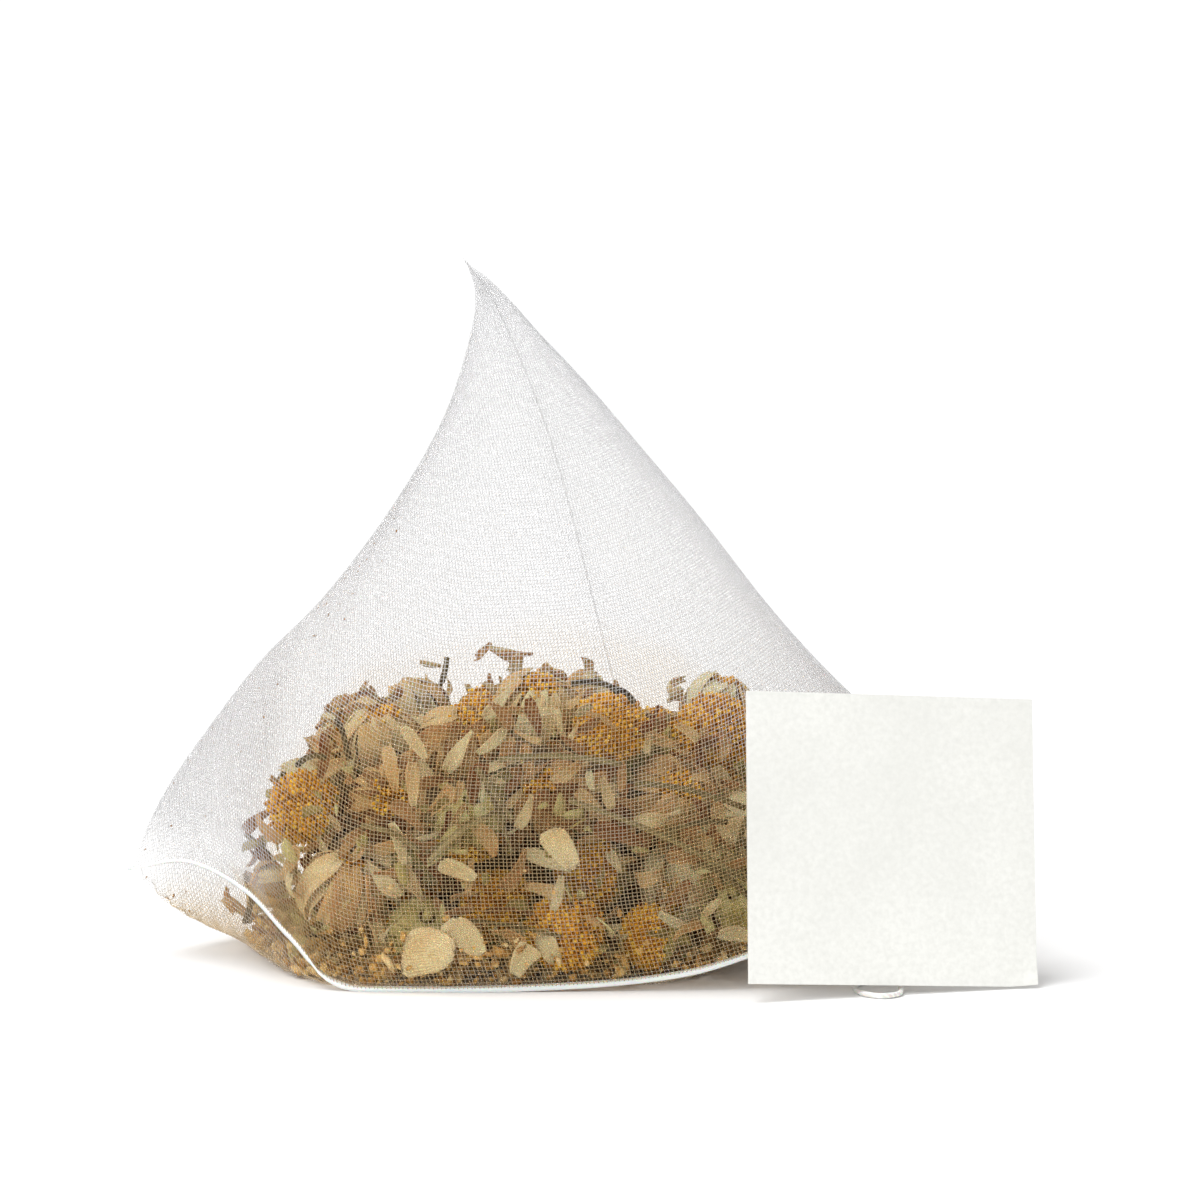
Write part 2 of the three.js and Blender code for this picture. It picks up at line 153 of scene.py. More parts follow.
def set_ramp(node, *stops):
    """Gives a colour ramp its stops, each a position and a colour."""
    for element, (position, colour) in zip(node.color_ramp.elements, stops):
        element.position = position
        element.color = (*colour, 1)


cotton = bpy.data.materials.new("white cotton")
cotton.use_nodes = True
nodes, links = cotton.node_tree.nodes, cotton.node_tree.links
shader = nodes["Principled BSDF"]
shader.inputs["Roughness"].default_value = 0.75
shader.inputs["Subsurface Weight"].default_value = 0.25
shader.inputs["Subsurface Scale"].default_value = 0.0004
shader.inputs["Sheen Weight"].default_value = 0.3
where = nodes.new("ShaderNodeTexCoord")
twist = nodes.new("ShaderNodeTexWave")
twist.bands_direction = "DIAGONAL"
twist.inputs["Scale"].default_value = 900.0
twist.inputs["Distortion"].default_value = 3.0
fibres = nodes.new("ShaderNodeBump")
fibres.inputs["Strength"].default_value = 0.5
fibres.inputs["Distance"].default_value = 0.0001
# the cotton's own white, painted darker where the twist's relief dips: painted shade in its grooves
shade = nodes.new("ShaderNodeValToRGB")
set_ramp(shade, (0, (0.74, 0.73, 0.69)), (1, (0.93, 0.92, 0.89)))
links.new(where.outputs["Object"], twist.inputs["Vector"])
links.new(twist.outputs["Fac"], shade.inputs["Fac"])
links.new(shade.outputs["Color"], shader.inputs["Base Color"])
links.new(twist.outputs["Fac"], fibres.inputs["Height"])
links.new(fibres.outputs["Normal"], shader.inputs["Normal"])
thread.data.materials.append(cotton)

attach(thread, "root")
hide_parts("thread_to_bag", "thread_coil", "thread_to_tag")


# --- Mesh pouch -------------------------------------------------------------------------------
# One tube of woven plastic mesh, welded flat along the front of the belly and, a quarter turn
# round, up the back. Every thread of the weave is modelled. The left ear is pressed almost shut.

A = (-10.5, 0, 53.6)
B = (-36.3, -5, 6.8)
C = (4, 33, 6)
D = (30.6, -14.6, 13.1)
EDGE_POINTS = {
    "AB": [A, (-9.6, -1, 51.2), (-10, -2, 48.2), (-11.3, -4, 43.5), (-13.1, -6, 39.6),
           (-16.2, -8, 34.7), (-19, -9, 31), (-22, -9.5, 27.4), (-25.9, -8, 23.7),
           (-30, -6, 18.5), (-33.5, -5, 13.5), (-35.4, -5, 9.6), B],
    "AD": [A, (-8, -0.5, 51.7), (-6.2, -2, 49.3), (-2.8, -4, 45.5), (1.6, -6, 40),
           (6.7, -8, 34), (11.8, -10, 27.7), (17, -11.7, 22.5), (22.5, -13, 18.1), D],
    "BD": [B, (-31.4, -9, 8), (-26.6, -14, 6.6), (-23, -17.5, 3.6), (-18.7, -20, 0.3),
           (-8.8, -20.5, 0.2), (2.9, -20, 0.8), (10.4, -19.5, 2.4), (20.8, -17.8, 6.7), D],
    "AC": [A, (-8, 14, 49), (-4, 25, 38), (0, 33, 22), C],
    "BC": [B, (-33.6, -2, 3.2), (-29.5, 3, 0.9), (-24, 13, 0.8), (-13, 25, 2), C],
    "CD": [C, (16, 24, 4.6), (26, 5, 8), D],
}
CORNERS = {name: np.array(point, float) for name, point in zip("ABCD", (A, B, C, D))}
EDGES = {name: smooth_line(points, 600) for name, points in EDGE_POINTS.items()}
EDGES.update({name[::-1]: line[::-1] for name, line in list(EDGES.items())})
AROUND = 224                     # columns of the fine grid round the tube
ALONG = 56                       # rows from seal to seal
FOLD_SOFTENING = 14              # passes
FOLD_CRISP = 25.0                # distance from a corner within which the folds stay sharper
LOWEST = 0.15                    # middle of the cloth above the table


def on_edge(name, share):
    """Points at the given shares of the way along an edge."""
    at = np.clip(share, 0, 1) * 599
    return np.stack([np.interp(at, np.arange(600), EDGES[name][:, k]) for k in range(3)], axis=-1)


def swell(face, w):
    """How far a face stands out from its edges, for the shares w of its three corners."""
    if face == "ABD":
        a, b, d = w
        across = d / np.maximum(b + d, 1e-9)
        ear = 0.13 * np.maximum(0, 1 - (a / 0.5) ** 2)
        left = np.sin(math.pi / 2 * np.clip((across - 0.75 * ear) / 0.34, 0, 1)) ** 0.8
        right = np.sin(math.pi / 2 * np.clip((1 - across) / 0.5, 0, 1)) ** 0.8
        belly = 11.4 * left * right * np.sqrt(np.clip(a, 0, 1)) * np.clip(1 - a, 0, 1) ** 0.8
        over = np.exp(-(((across - ear - 0.05) / 0.1) ** 2)) * (ear / 0.13) * np.minimum(1, 8 * a)
        return np.stack([-0.1 * belly - 1.6 * over, -0.97 * belly - 2.5 * over, 0.22 * belly], -1)
    if face == "ADC":
        return 108 * (w[0] * w[1] * w[2])[..., None] * np.array([0.15, 0.9, 0.3])
    if face == "ACB":
        return 86 * (w[0] * w[1] * w[2])[..., None] * np.array([-0.75, 0.55, 0.3])
    c, d, b = w
    lift = np.clip((0.6 - d) / 0.35, 0, 1)
    return (-120 * np.sqrt(np.maximum(c, 0)) * b * d * lift)[..., None] * np.array([0.0, 0.0, 1.0])


def curved_face(face, w):
    """A triangle with curved edges: each edge's curve fades out towards the far corner."""
    points = sum(w[k][..., None] * CORNERS[face[k]] for k in range(3))
    for k in range(3):
        n = (k + 1) % 3
        share = w[k] + w[n]
        f = w[n] / np.maximum(share, 1e-9)
        straight = CORNERS[face[k]] * (1 - f[..., None]) + CORNERS[face[n]] * f[..., None]
        points = points + (on_edge(face[k] + face[n], f) - straight) * (share**1.5)[..., None]
    return points + swell(face, w)


def pouch_surface():
    """The middle of the cloth as a grid of points, round the tube and from seal to seal."""
    s, t = np.meshgrid(np.arange(AROUND) / AROUND, np.arange(ALONG + 1) / ALONG, indexing="ij")
    d = 2 * s - t / 2
    front = curved_face("ABD", [t, 1 - t - d, d])
    b = 2 * s - 1 - t / 2
    under = curved_face("CDB", [t, 1 - t - b, b])
    c = 2 * s - 1 + t / 2
    right = curved_face("ADC", [t - c, 1 - t, c])
    a = 2 * np.where(s < 0.5, s, s - 1) + t / 2
    left = curved_face("ACB", [a, t - a, 1 - t])
    tiny = 1e-9
    grid = np.where(((s >= t / 4 - tiny) & (s <= 0.5 - t / 4 + tiny))[..., None], front, left)
    grid = np.where(((s > 0.5 - t / 4 + tiny) & (s < 0.5 + t / 4 - tiny))[..., None], right, grid)
    grid = np.where(((s >= 0.5 + t / 4 - tiny) & (s <= 1 - t / 4 + tiny))[..., None], under, grid)
    i = np.arange(AROUND)
    for j, mate in ((0, -i % AROUND), (ALONG, (AROUND // 2 - i) % AROUND)):
        grid[:, j] = (grid[:, j] + grid[mate, j]) / 2
    for _ in range(FOLD_SOFTENING):
        mean = (np.roll(grid, 1, 0) + np.roll(grid, -1, 0))[:, 1:-1] + grid[:, 2:] + grid[:, :-2]
        inner = grid[:, 1:-1]
        near = np.min([np.linalg.norm(inner - p, axis=-1) for p in CORNERS.values()], axis=0)
        share = 0.5 * np.minimum(1, near / FOLD_CRISP)
        grid[:, 1:-1] = inner + (mean / 4 - inner) * share[..., None]
    grid[..., 2] = np.maximum(grid[..., 2], LOWEST)
    return (grid + np.array(DRAWING_ZERO)) * MM


def outward(grid):
    """Unit normals of the grid."""
    rows = np.arange(ALONG + 1)
    along = grid[:, np.minimum(rows + 1, ALONG)] - grid[:, np.maximum(rows - 1, 0)]
    normal = np.cross(np.roll(grid, -1, 0) - np.roll(grid, 1, 0), along)
    return normal / np.maximum(np.linalg.norm(normal, axis=-1, keepdims=True), 1e-12)


def sample(field, s, t):
    """The field's value at shares s round the tube and t along it."""
    x, y = (s % 1.0) * AROUND, np.clip(t, 0, 1) * ALONG
    i, j = np.floor(x).astype(int), np.minimum(np.floor(y).astype(int), ALONG - 1)
    u, v = (x - i)[..., None], (y - j)[..., None]
    i, n = i % AROUND, (i + 1) % AROUND
    return (
        field[i, j] * (1 - u) * (1 - v) + field[n, j] * u * (1 - v)
        + field[i, j + 1] * (1 - u) * v + field[n, j + 1] * u * v
    )


def new_mesh(name, points, faces, uvs=None, tones=None, slots=None):
    """A mesh object from arrays: points in metres, and faces that all have as many corners."""
    mesh = bpy.data.meshes.new(name)
    mesh.vertices.add(len(points))
    mesh.vertices.foreach_set("co", np.ascontiguousarray(points, np.float32).ravel())
    mesh.loops.add(faces.size)
    mesh.loops.foreach_set("vertex_index", faces.astype(np.int32).ravel())
    mesh.polygons.add(len(faces))
    starts = np.arange(len(faces), dtype=np.int32) * faces.shape[1]
    mesh.polygons.foreach_set("loop_start", starts)
    mesh.update(calc_edges=True)
    if uvs is not None:
        mesh.uv_layers.new(name="UVMap")
        mesh.uv_layers[0].data.foreach_set("uv", np.ascontiguousarray(uvs, np.float32).ravel())
    if tones is not None:
        tone = mesh.attributes.new("tone", "FLOAT", "POINT")
        tone.data.foreach_set("value", np.ascontiguousarray(tones, np.float32))
    if slots is not None:
        mesh.polygons.foreach_set("material_index", slots.astype(np.int32))
    mesh.polygons.foreach_set("use_smooth", np.ones(len(faces), bool))
    piece = bpy.data.objects.new(name, mesh)
    bpy.context.collection.objects.link(piece)
    return piece


pouch = pouch_surface()
pouch_out = outward(pouch)

THREADS_UP = 502                 # threads that run from seal to seal
THREADS_ROUND = 202              # threads that run round the tube
MESH_THREAD = 0.078 * MM         # width of a mesh thread
PRESSED_THREAD = 0.09 * MM       # what the pressed ear adds to it
UP_STEPS = 30
ROUND_STEPS = 66


def pressed(points):
    """1 where the cloth is pressed flat into the left ear, 0 elsewhere."""
    x = points[..., 0] / MM - DRAWING_ZERO.x
    z = points[..., 2] / MM
    border = -22.4 - 4.2 * np.clip((25.9 - z) / 18.4, 0, 1)
    low = np.clip((z - 7.5) / 3, 0, 1)
    return np.clip((border - x) / 1.6, 0, 1) * low * np.clip((27 - z) / 3, 0, 1)


# the heap's top, from the left ear to the right one: x and z on the drawing
HEAP_TOP = [
    (-27.5, 6), (-26, 14.4), (-22.6, 17.2), (-19.4, 21.2), (-13.5, 22), (-7.5, 23.2), (-4.5, 23.6),
    (0, 22.4), (6.8, 21.2), (9, 19.2), (11, 17.6), (17, 14), (22, 11.5), (27, 9),
]


def heap_height(x):
    """Height of the heap at a place across the bag, in the row frame, in metres."""
    xs, zs = zip(*HEAP_TOP)
    return np.interp(np.asarray(x) / MM - DRAWING_ZERO.x, xs, zs) * MM


def tapered(points):
    """1 over the open cloth, less near the corners, where the threads run together."""
    near = np.min(
        [np.linalg.norm(points - np.array(place(*p)), axis=-1) for p in CORNERS.values()], axis=0
    )
    return np.clip(near / (6 * MM), 0.3, 1)


def painted_heap_colour(points):
    """1 where the cloth lies against the heap, 0 above it and on the left ear; it weights the heap's
    warm colour painted into the threads, painted light from the heap behind them.
    """
    under = (heap_height(points[..., 0]) - points[..., 2]) / MM
    beside = (points[..., 0] / MM - DRAWING_ZERO.x + 25.5) / 3
    return np.clip(under / 2, 0, 1) * np.clip(np.where(points[..., 2] < 7 * MM, 1, beside), 0, 1)


def thread_run(centre, normal, along, width, closed):
    """Three-sided threads laid along rows of points, shape (threads, steps, 3)."""
    side = np.cross(along, normal)
    side /= np.maximum(np.linalg.norm(side, axis=-1, keepdims=True), 1e-12)
    half = width[..., None] / 2
    thick = np.minimum(half, MESH_THREAD / 2)
    rim = np.stack(
        [centre + normal * thick, centre - normal * thick * 0.5 - side * half,
         centre - normal * thick * 0.5 + side * half], axis=2
    )
    count, steps = centre.shape[:2]
    index = np.arange(count * steps * 3).reshape(count, steps, 3)
    after = np.roll(index, -1, 1) if closed else index[:, 1:]
    here = index if closed else index[:, :-1]
    faces = []
    for k in range(3):
        n = (k + 1) % 3
        quads = np.stack([here[..., k], here[..., n], after[..., n], after[..., k]], -1)
        faces.append(quads.reshape(-1, 4))
    quads = np.vstack(faces)
    triangles = np.vstack([quads[:, [0, 1, 2]], quads[:, [0, 2, 3]]])
    if not closed:
        triangles = np.vstack([triangles, index[:, 0, ::-1], index[:, -1]])
    return rim.reshape(-1, 3), triangles


def mesh_threads():
    """All the threads of the weave: up and down the tube outside, round it inside."""
    jitter = np.random.default_rng(3)
    s = (np.arange(THREADS_UP) + 0.5 + 0.08 * jitter.normal(size=THREADS_UP)) / THREADS_UP
    s = np.repeat(s[:, None], UP_STEPS, 1)
    t = np.repeat(np.linspace(0.0, 1.0, UP_STEPS)[None], THREADS_UP, 0)
    centre, normal = sample(pouch, s, t), sample(pouch_out, s, t)
    up, up_faces = thread_run(
        centre + normal * 0.02 * MM, normal, np.gradient(centre, axis=1),
        (MESH_THREAD + PRESSED_THREAD * pressed(centre)) * tapered(centre), closed=False
    )
    t = (np.arange(THREADS_ROUND) + 0.5 + 0.08 * jitter.normal(size=THREADS_ROUND)) / THREADS_ROUND
    t = np.repeat(t[:, None], ROUND_STEPS, 1)
    s = np.repeat((np.arange(ROUND_STEPS) / ROUND_STEPS)[None], THREADS_ROUND, 0)
    s = s + t / 4                # so that a step falls on the fold from A to B
    centre, normal = sample(pouch, s, t), sample(pouch_out, s, t)
    along = np.roll(centre, -1, 1) - np.roll(centre, 1, 1)
    ring, ring_faces = thread_run(
        centre - normal * 0.02 * MM, normal, along,
        (MESH_THREAD + PRESSED_THREAD * pressed(centre)) * tapered(centre), closed=True
    )
    return np.vstack([up, ring]), np.vstack([up_faces, ring_faces + len(up)])


thread_points, thread_faces = mesh_threads()
# the tone attribute holds the share of painted light: the heap's colour painted into the threads that
# lie against it
woven_pouch = new_mesh("woven_pouch", thread_points, thread_faces, tones=painted_heap_colour(thread_points))

# the welded seams: a flat strip of melted mesh along each seal
SEAM_WIDTH = 0.5 * MM
SEAM_THICKNESS = 0.16 * MM


def seam_strip(row, first):
    """A closed strip along one seal, from one corner of the pouch to the other."""
    i = (first + np.arange(AROUND // 2 + 1)) % AROUND
    inner = 1 if row == 0 else ALONG - 1
    mate = -i % AROUND if row == 0 else (AROUND // 2 - i) % AROUND
    root = pouch[i, row]
    away = root - (pouch[i, inner] + pouch[mate, inner]) / 2
    away /= np.maximum(np.linalg.norm(away, axis=1, keepdims=True), 1e-12)
    run = np.gradient(root, axis=0)
    flat = np.cross(run, away)
    flat /= np.maximum(np.linalg.norm(flat, axis=1, keepdims=True), 1e-12)
    ends = np.sin(np.linspace(0, math.pi, len(i)))[:, None] ** 0.25
    low = root - away * 0.25 * MM
    high = root + away * (SEAM_WIDTH - 0.25 * MM) * (0.4 + 0.6 * ends)
    half = flat * SEAM_THICKNESS / 2
    rim = np.stack([low - half, high - half, high + half, low + half], axis=1)
    rim[..., 2] = np.maximum(rim[..., 2], 0.0)
    index = np.arange(rim.shape[0] * 4).reshape(-1, 4)
    quads = [
        np.stack([index[:-1, k], index[:-1, (k + 1) % 4], index[1:, (k + 1) % 4], index[1:, k]], -1)
        for k in range(4)
    ]
    caps = np.vstack([index[:1, ::-1], index[-1:]])
    return rim.reshape(-1, 3), np.vstack(quads + [caps])


front_seam, front_faces = seam_strip(0, 0)
rear_seam, rear_faces = seam_strip(ALONG, AROUND // 4)
seams = new_mesh(
    "welded_seams",
    np.vstack([front_seam, rear_seam]),
    np.vstack([front_faces, rear_faces + len(front_seam)]),
    slots=np.repeat([0, 1], [len(front_faces), len(rear_faces)]),
)

nylon = bpy.data.materials.new("mesh thread")
nylon.use_nodes = True
nodes, links = nylon.node_tree.nodes, nylon.node_tree.links
shader = nodes["Principled BSDF"]
shader.inputs["Roughness"].default_value = 0.45
shader.inputs["Specular IOR Level"].default_value = 0.2
shader.inputs["Transmission Weight"].default_value = 0.5
shader.inputs["IOR"].default_value = 1.25
shader.inputs["Alpha"].default_value = 0.36
# threads against the heap are tinted towards its warm colour in random mottles: painted light, the
# heap's colour carried through the clear threads, painted in
where = nodes.new("ShaderNodeTexCoord")
dust = nodes.new("ShaderNodeAttribute")
dust.attribute_name = "tone"
mottle = nodes.new("ShaderNodeTexNoise")
mottle.inputs["Scale"].default_value = 160.0
mottle.inputs["Detail"].default_value = 4.0
blotch = nodes.new("ShaderNodeMapRange")
blotch.inputs["From Min"].default_value = 0.3
blotch.inputs["From Max"].default_value = 0.6
blotch.inputs["To Min"].default_value = 0.55
painted_heap_share = nodes.new("ShaderNodeMath")
painted_heap_share.operation = "MULTIPLY"
# the tint's far end is the painted colour of the heap seen through the threads
tint = nodes.new("ShaderNodeValToRGB")
set_ramp(tint, (0, (0.97, 0.97, 0.98)), (1, (0.82, 0.62, 0.34)))
links.new(where.outputs["Object"], mottle.inputs["Vector"])
links.new(mottle.outputs["Fac"], blotch.inputs["Value"])
links.new(dust.outputs["Fac"], painted_heap_share.inputs[0])
links.new(blotch.outputs["Result"], painted_heap_share.inputs[1])
links.new(painted_heap_share.outputs["Value"], tint.inputs["Fac"])
links.new(tint.outputs["Color"], shader.inputs["Base Color"])

welded = bpy.data.materials.new("welded mesh")
welded.use_nodes = True
nodes, links = welded.node_tree.nodes, welded.node_tree.links
shader = nodes["Principled BSDF"]
shader.inputs["Roughness"].default_value = 0.3
shader.inputs["Subsurface Weight"].default_value = 0.3
shader.inputs["Subsurface Scale"].default_value = 0.0005
where = nodes.new("ShaderNodeTexCoord")
melt = nodes.new("ShaderNodeTexNoise")
melt.inputs["Scale"].default_value = 3000.0
whiteness = nodes.new("ShaderNodeValToRGB")
set_ramp(whiteness, (0, (0.84, 0.84, 0.82)), (1, (0.97, 0.97, 0.96)))
grain = nodes.new("ShaderNodeBump")
grain.inputs["Strength"].default_value = 0.4
grain.inputs["Distance"].default_value = 0.00005
links.new(where.outputs["Object"], melt.inputs["Vector"])
links.new(melt.outputs["Fac"], whiteness.inputs["Fac"])
links.new(whiteness.outputs["Color"], shader.inputs["Base Color"])
links.new(melt.outputs["Fac"], grain.inputs["Height"])
links.new(grain.outputs["Normal"], shader.inputs["Normal"])

woven_pouch.data.materials.append(nylon)
seams.data.materials.append(welded)
seams.data.materials.append(nylon)
for piece in (woven_pouch, seams):
    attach(piece, "root")
    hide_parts("mesh_bag")


# --- Flower heads -----------------------------------------------------------------------------
# Whole dried camomile heads, each on a stub of stalk: golden domes of tiny florets, buds wrapped
# in their own folded petals, and cups of pale bracts seen from behind.

inside_wall = BVHTree.FromPolygons(
    [Vector(p) for p in pouch.reshape(-1, 3)],
    [
        (i * (ALONG + 1) + j, (i + 1) % AROUND * (ALONG + 1) + j,
         (i + 1) % AROUND * (ALONG + 1) + j + 1, i * (ALONG + 1) + j + 1)
        for i in range(AROUND) for j in range(ALONG)
    ],
)


def press_inside(points, gap=0.12 * MM):
    """Moves every point that touches the cloth back inside it, as the cloth does to a scrap."""
    kept = np.array(points, float)
    for k, point in enumerate(kept):
        spot, normal, _, distance = inside_wall.find_nearest(point, 0.004)
        if spot is None:
            continue
        depth = -(Vector(point) - spot).dot(normal)
        if depth < gap:
            kept[k] = point + np.array(normal) * (depth - gap)
    return kept


def points_of(mesh):
    """The mesh's points as rows of three numbers."""
    points = np.empty(len(mesh.vertices) * 3)
    mesh.vertices.foreach_get("co", points)
    return points.reshape(-1, 3)


def move_points(piece, points):
    """Puts the piece's points at the given places."""
    piece.data.vertices.foreach_set("co", points.ravel())
    piece.data.update()


def take_shape(piece):
    """The finished shape's points and triangles and UVs, after which the object is gone."""
    bpy.ops.object.select_all(action="DESELECT")
    piece.select_set(True)
    bpy.context.view_layer.objects.active = piece
    bpy.ops.object.modifier_add(type="TRIANGULATE")
    bpy.ops.object.modifier_apply(modifier=piece.modifiers[-1].name)
    mesh = piece.data
    points = points_of(mesh)
    faces = np.empty(len(mesh.loops), np.int32)
    mesh.loops.foreach_get("vertex_index", faces)
    uvs = np.zeros(len(mesh.loops) * 2)
    if mesh.uv_layers:
        mesh.uv_layers[0].data.foreach_get("uv", uvs)
    bpy.data.objects.remove(piece)
    return points, faces.reshape(-1, 3), uvs.reshape(-1, 3, 2)


def gather(name, scraps):
    """One object from many scraps, each (points, shape, tone, material number)."""
    points, faces, uvs, tones, slots, start = [], [], [], [], [], 0
    for scrap_points, shape, tone, slot_number in scraps:
        points.append(scrap_points)
        faces.append(shape[1] + start)
        uvs.append(shape[2])
        tones.append(np.full(len(scrap_points), tone))
        slots.append(np.full(len(shape[1]), slot_number))
        start += len(scrap_points)
    return new_mesh(
        name, np.vstack(points), np.vstack(faces), np.concatenate(uvs).reshape(-1, 2),
        np.concatenate(tones), np.concatenate(slots)
    )


# a petal lies flat on XY: 1 long from its root at y = 0, a third as wide, thin, with a blunt tip
bpy.ops.object.select_all(action="DESELECT")
bpy.ops.mesh.primitive_grid_add(x_subdivisions=4, y_subdivisions=8, size=1.0, calc_uvs=True)
petal = bpy.context.object
for vertex in petal.data.vertices:
    u, v = vertex.co.x * 2, vertex.co.y + 0.5
    widening = 0.35 + 0.65 * math.sin(math.pi * min(1, v * 1.1) / 2)
    outline = 0.17 * widening * (1 - max(0, v - 0.8) * 2.2)
    vertex.co = (u * outline, v, 0.05 * u * u - 0.012 * math.cos(u * 9))
bpy.ops.object.modifier_add(type="SOLIDIFY")
petal.modifiers[-1].thickness = 0.02
bpy.ops.object.modifier_apply(modifier=petal.modifiers[-1].name)
petal_shape = take_shape(petal)

# a floret is a bead, a bract a short stiff scale
bpy.ops.mesh.primitive_ico_sphere_add(subdivisions=1, radius=1.0)
floret_shape = take_shape(bpy.context.object)
bpy.ops.object.select_all(action="DESELECT")
bpy.ops.mesh.primitive_grid_add(x_subdivisions=3, y_subdivisions=4, size=1.0, calc_uvs=True)
bract = bpy.context.object
for vertex in bract.data.vertices:
    u, v = vertex.co.x * 2, vertex.co.y + 0.5
    vertex.co = (u * 0.2 * math.sqrt(max(0.0, 1 - v**3)) + u * 0.04, v, -0.06 * u * u)
bpy.ops.object.modifier_add(type="SOLIDIFY")
bract.modifiers[-1].thickness = 0.05
bpy.ops.object.modifier_apply(modifier=bract.modifiers[-1].name)
bract_shape = take_shape(bract)

# the head's core: a dome above, a shallow cup below, and the stalk's stub
bpy.ops.mesh.primitive_uv_sphere_add(segments=20, ring_count=14, radius=0.74)
core = bpy.context.object
for vertex in core.data.vertices:
    x, y, z = vertex.co
    if z < -0.1:
        vertex.co.z = -0.1 + (z + 0.1) * 0.62
    ring = math.hypot(x, y)
    if z < -0.55 and ring < 0.5:
        vertex.co.z -= 0.08
core_shape = take_shape(core)
bpy.ops.object.select_all(action="DESELECT")
bpy.ops.mesh.primitive_cylinder_add(vertices=8, radius=0.12, depth=0.5, location=(0, 0, -0.72))
stub = bpy.context.object
bpy.ops.object.mode_set(mode="EDIT")
bpy.ops.mesh.subdivide(number_cuts=2)
bpy.ops.object.mode_set(mode="OBJECT")
bpy.ops.object.transform_apply(location=True, rotation=False, scale=False)
stub_shape = take_shape(stub)


def head_axis(node):
    """A head's middle, the way its dome faces and its radius, from its plain solid."""
    points = np.array([v.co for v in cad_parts[node].data.vertices])
    apart = np.linalg.norm(points[:, None] - points[None], axis=2)
    ends = np.unravel_index(apart.argmax(), apart.shape)
    crowd = [(apart[end] < 0.17 * apart.max()).sum() for end in ends]
    dome_top = points[ends[int(np.argmin(crowd))]]
    stalk_side = points[ends[int(np.argmax(crowd))]]
    stalk = points[np.linalg.norm(points - stalk_side, axis=1) < 0.28 * apart.max()].mean(0)
    axis = (dome_top - stalk) / np.linalg.norm(dome_top - stalk)
    radius = float(np.ptp(points @ axis)) / 1.8
    return dome_top - axis * 0.8 * radius, axis, radius


def turned(points, axis, spin, middle, radius):
    """Points of a head drawn about +Z, put where the head lies."""
    turn = Vector(axis).to_track_quat("Z", "Y").to_matrix() @ Matrix.Rotation(spin, 3, "Z")
    return points @ np.array(turn).T * radius + middle


def wrap(shape, round_at, low, high, radius, width, lift, twist):
    """Bends a flat petal or bract over a ball, from latitude low to latitude high."""
    u, v, h = shape[0][:, 0], shape[0][:, 1], shape[0][:, 2]
    latitude = low + (high - low) * v
    reach = radius + lift * v**2 + h * 1.2
    spread = width * u / np.maximum(np.cos(latitude), 0.35)
    longitude = round_at + spread + twist * v
    return np.stack(
        [reach * np.cos(latitude) * np.cos(longitude), reach * np.cos(latitude) * np.sin(longitude),
         reach * np.sin(latitude) * 0.92 - 0.02], axis=1
    )


def droop(shape, round_at, root, length, fall, curl, twist):
    """A petal that leaves the rim outwards and droops or curls."""
    u, v, h = shape[0][:, 0], shape[0][:, 1], shape[0][:, 2]
    angle = fall * v + curl * v**2
    out = root + length * v * np.cos(angle)
    up = length * v * np.sin(angle) + h * length
    across = u * length
    x = out * math.cos(round_at) - across * math.sin(round_at) * np.cos(twist * v)
    y = out * math.sin(round_at) + across * math.cos(round_at) * np.cos(twist * v)
    return np.stack([x, y, up - 0.08 + across * np.sin(twist * v)], axis=1)


GOLDEN = math.pi * (3 - math.sqrt(5))


def florets(chance, count, top, bottom):
    """Beads packed in a spiral over the dome, from latitude top down to latitude bottom."""
    beads = []
    highs = np.linspace(math.sin(top), math.sin(bottom), count)
    for k, high in enumerate(highs):
        latitude = math.asin(high)
        longitude = k * GOLDEN + chance.normal() * 0.02
        direction = np.array([math.cos(latitude) * math.cos(longitude),
                              math.cos(latitude) * math.sin(longitude), high])
        size = 0.053 * (1 + 0.18 * chance.normal())
        stand = 0.755 + 0.035 * chance.normal()
        outwards = direction * (floret_shape[0] @ direction)[:, None]
        stretch = floret_shape[0] * size + outwards * size * 0.6
        beads.append((stretch + direction * stand, floret_shape, chance.uniform(), 0))
    return beads


def cup(chance, rings, slot_number, tone):
    """Overlapping bracts round the underside, the lowest ring outermost."""
    scales = []
    for ring, (low, high, count) in enumerate(rings):
        for k in range(count):
            round_at = 2 * math.pi * (k + 0.5 * ring) / count + chance.normal() * 0.06
            scales.append(
                (wrap(bract_shape, round_at, low, high, 0.76 + 0.03 * ring, 1.5,
                      0.05 + 0.06 * chance.uniform(), chance.normal() * 0.1),
                 bract_shape, tone + 0.2 * chance.normal(), slot_number)
            )
    return scales


def floret_head(chance):
    """A golden dome, with the tips of its bracts and a few withered petals below."""
    parts = [(core_shape[0], core_shape, 0.1, 0), (stub_shape[0], stub_shape, 0.5, 2)]
    parts += florets(chance, 480, math.radians(88), math.radians(-12))
    parts += cup(chance, [(-1.1, -0.15, 14)], 2, 0.5)
    for _ in range(chance.integers(2, 6)):
        parts.append(
            (droop(petal_shape, chance.uniform(0, 6.3), 0.7, chance.uniform(0.5, 0.9),
                   -chance.uniform(0.6, 1.4), chance.normal() * 0.5, chance.normal() * 0.7),
             petal_shape, chance.uniform(), 1)
        )
    return parts


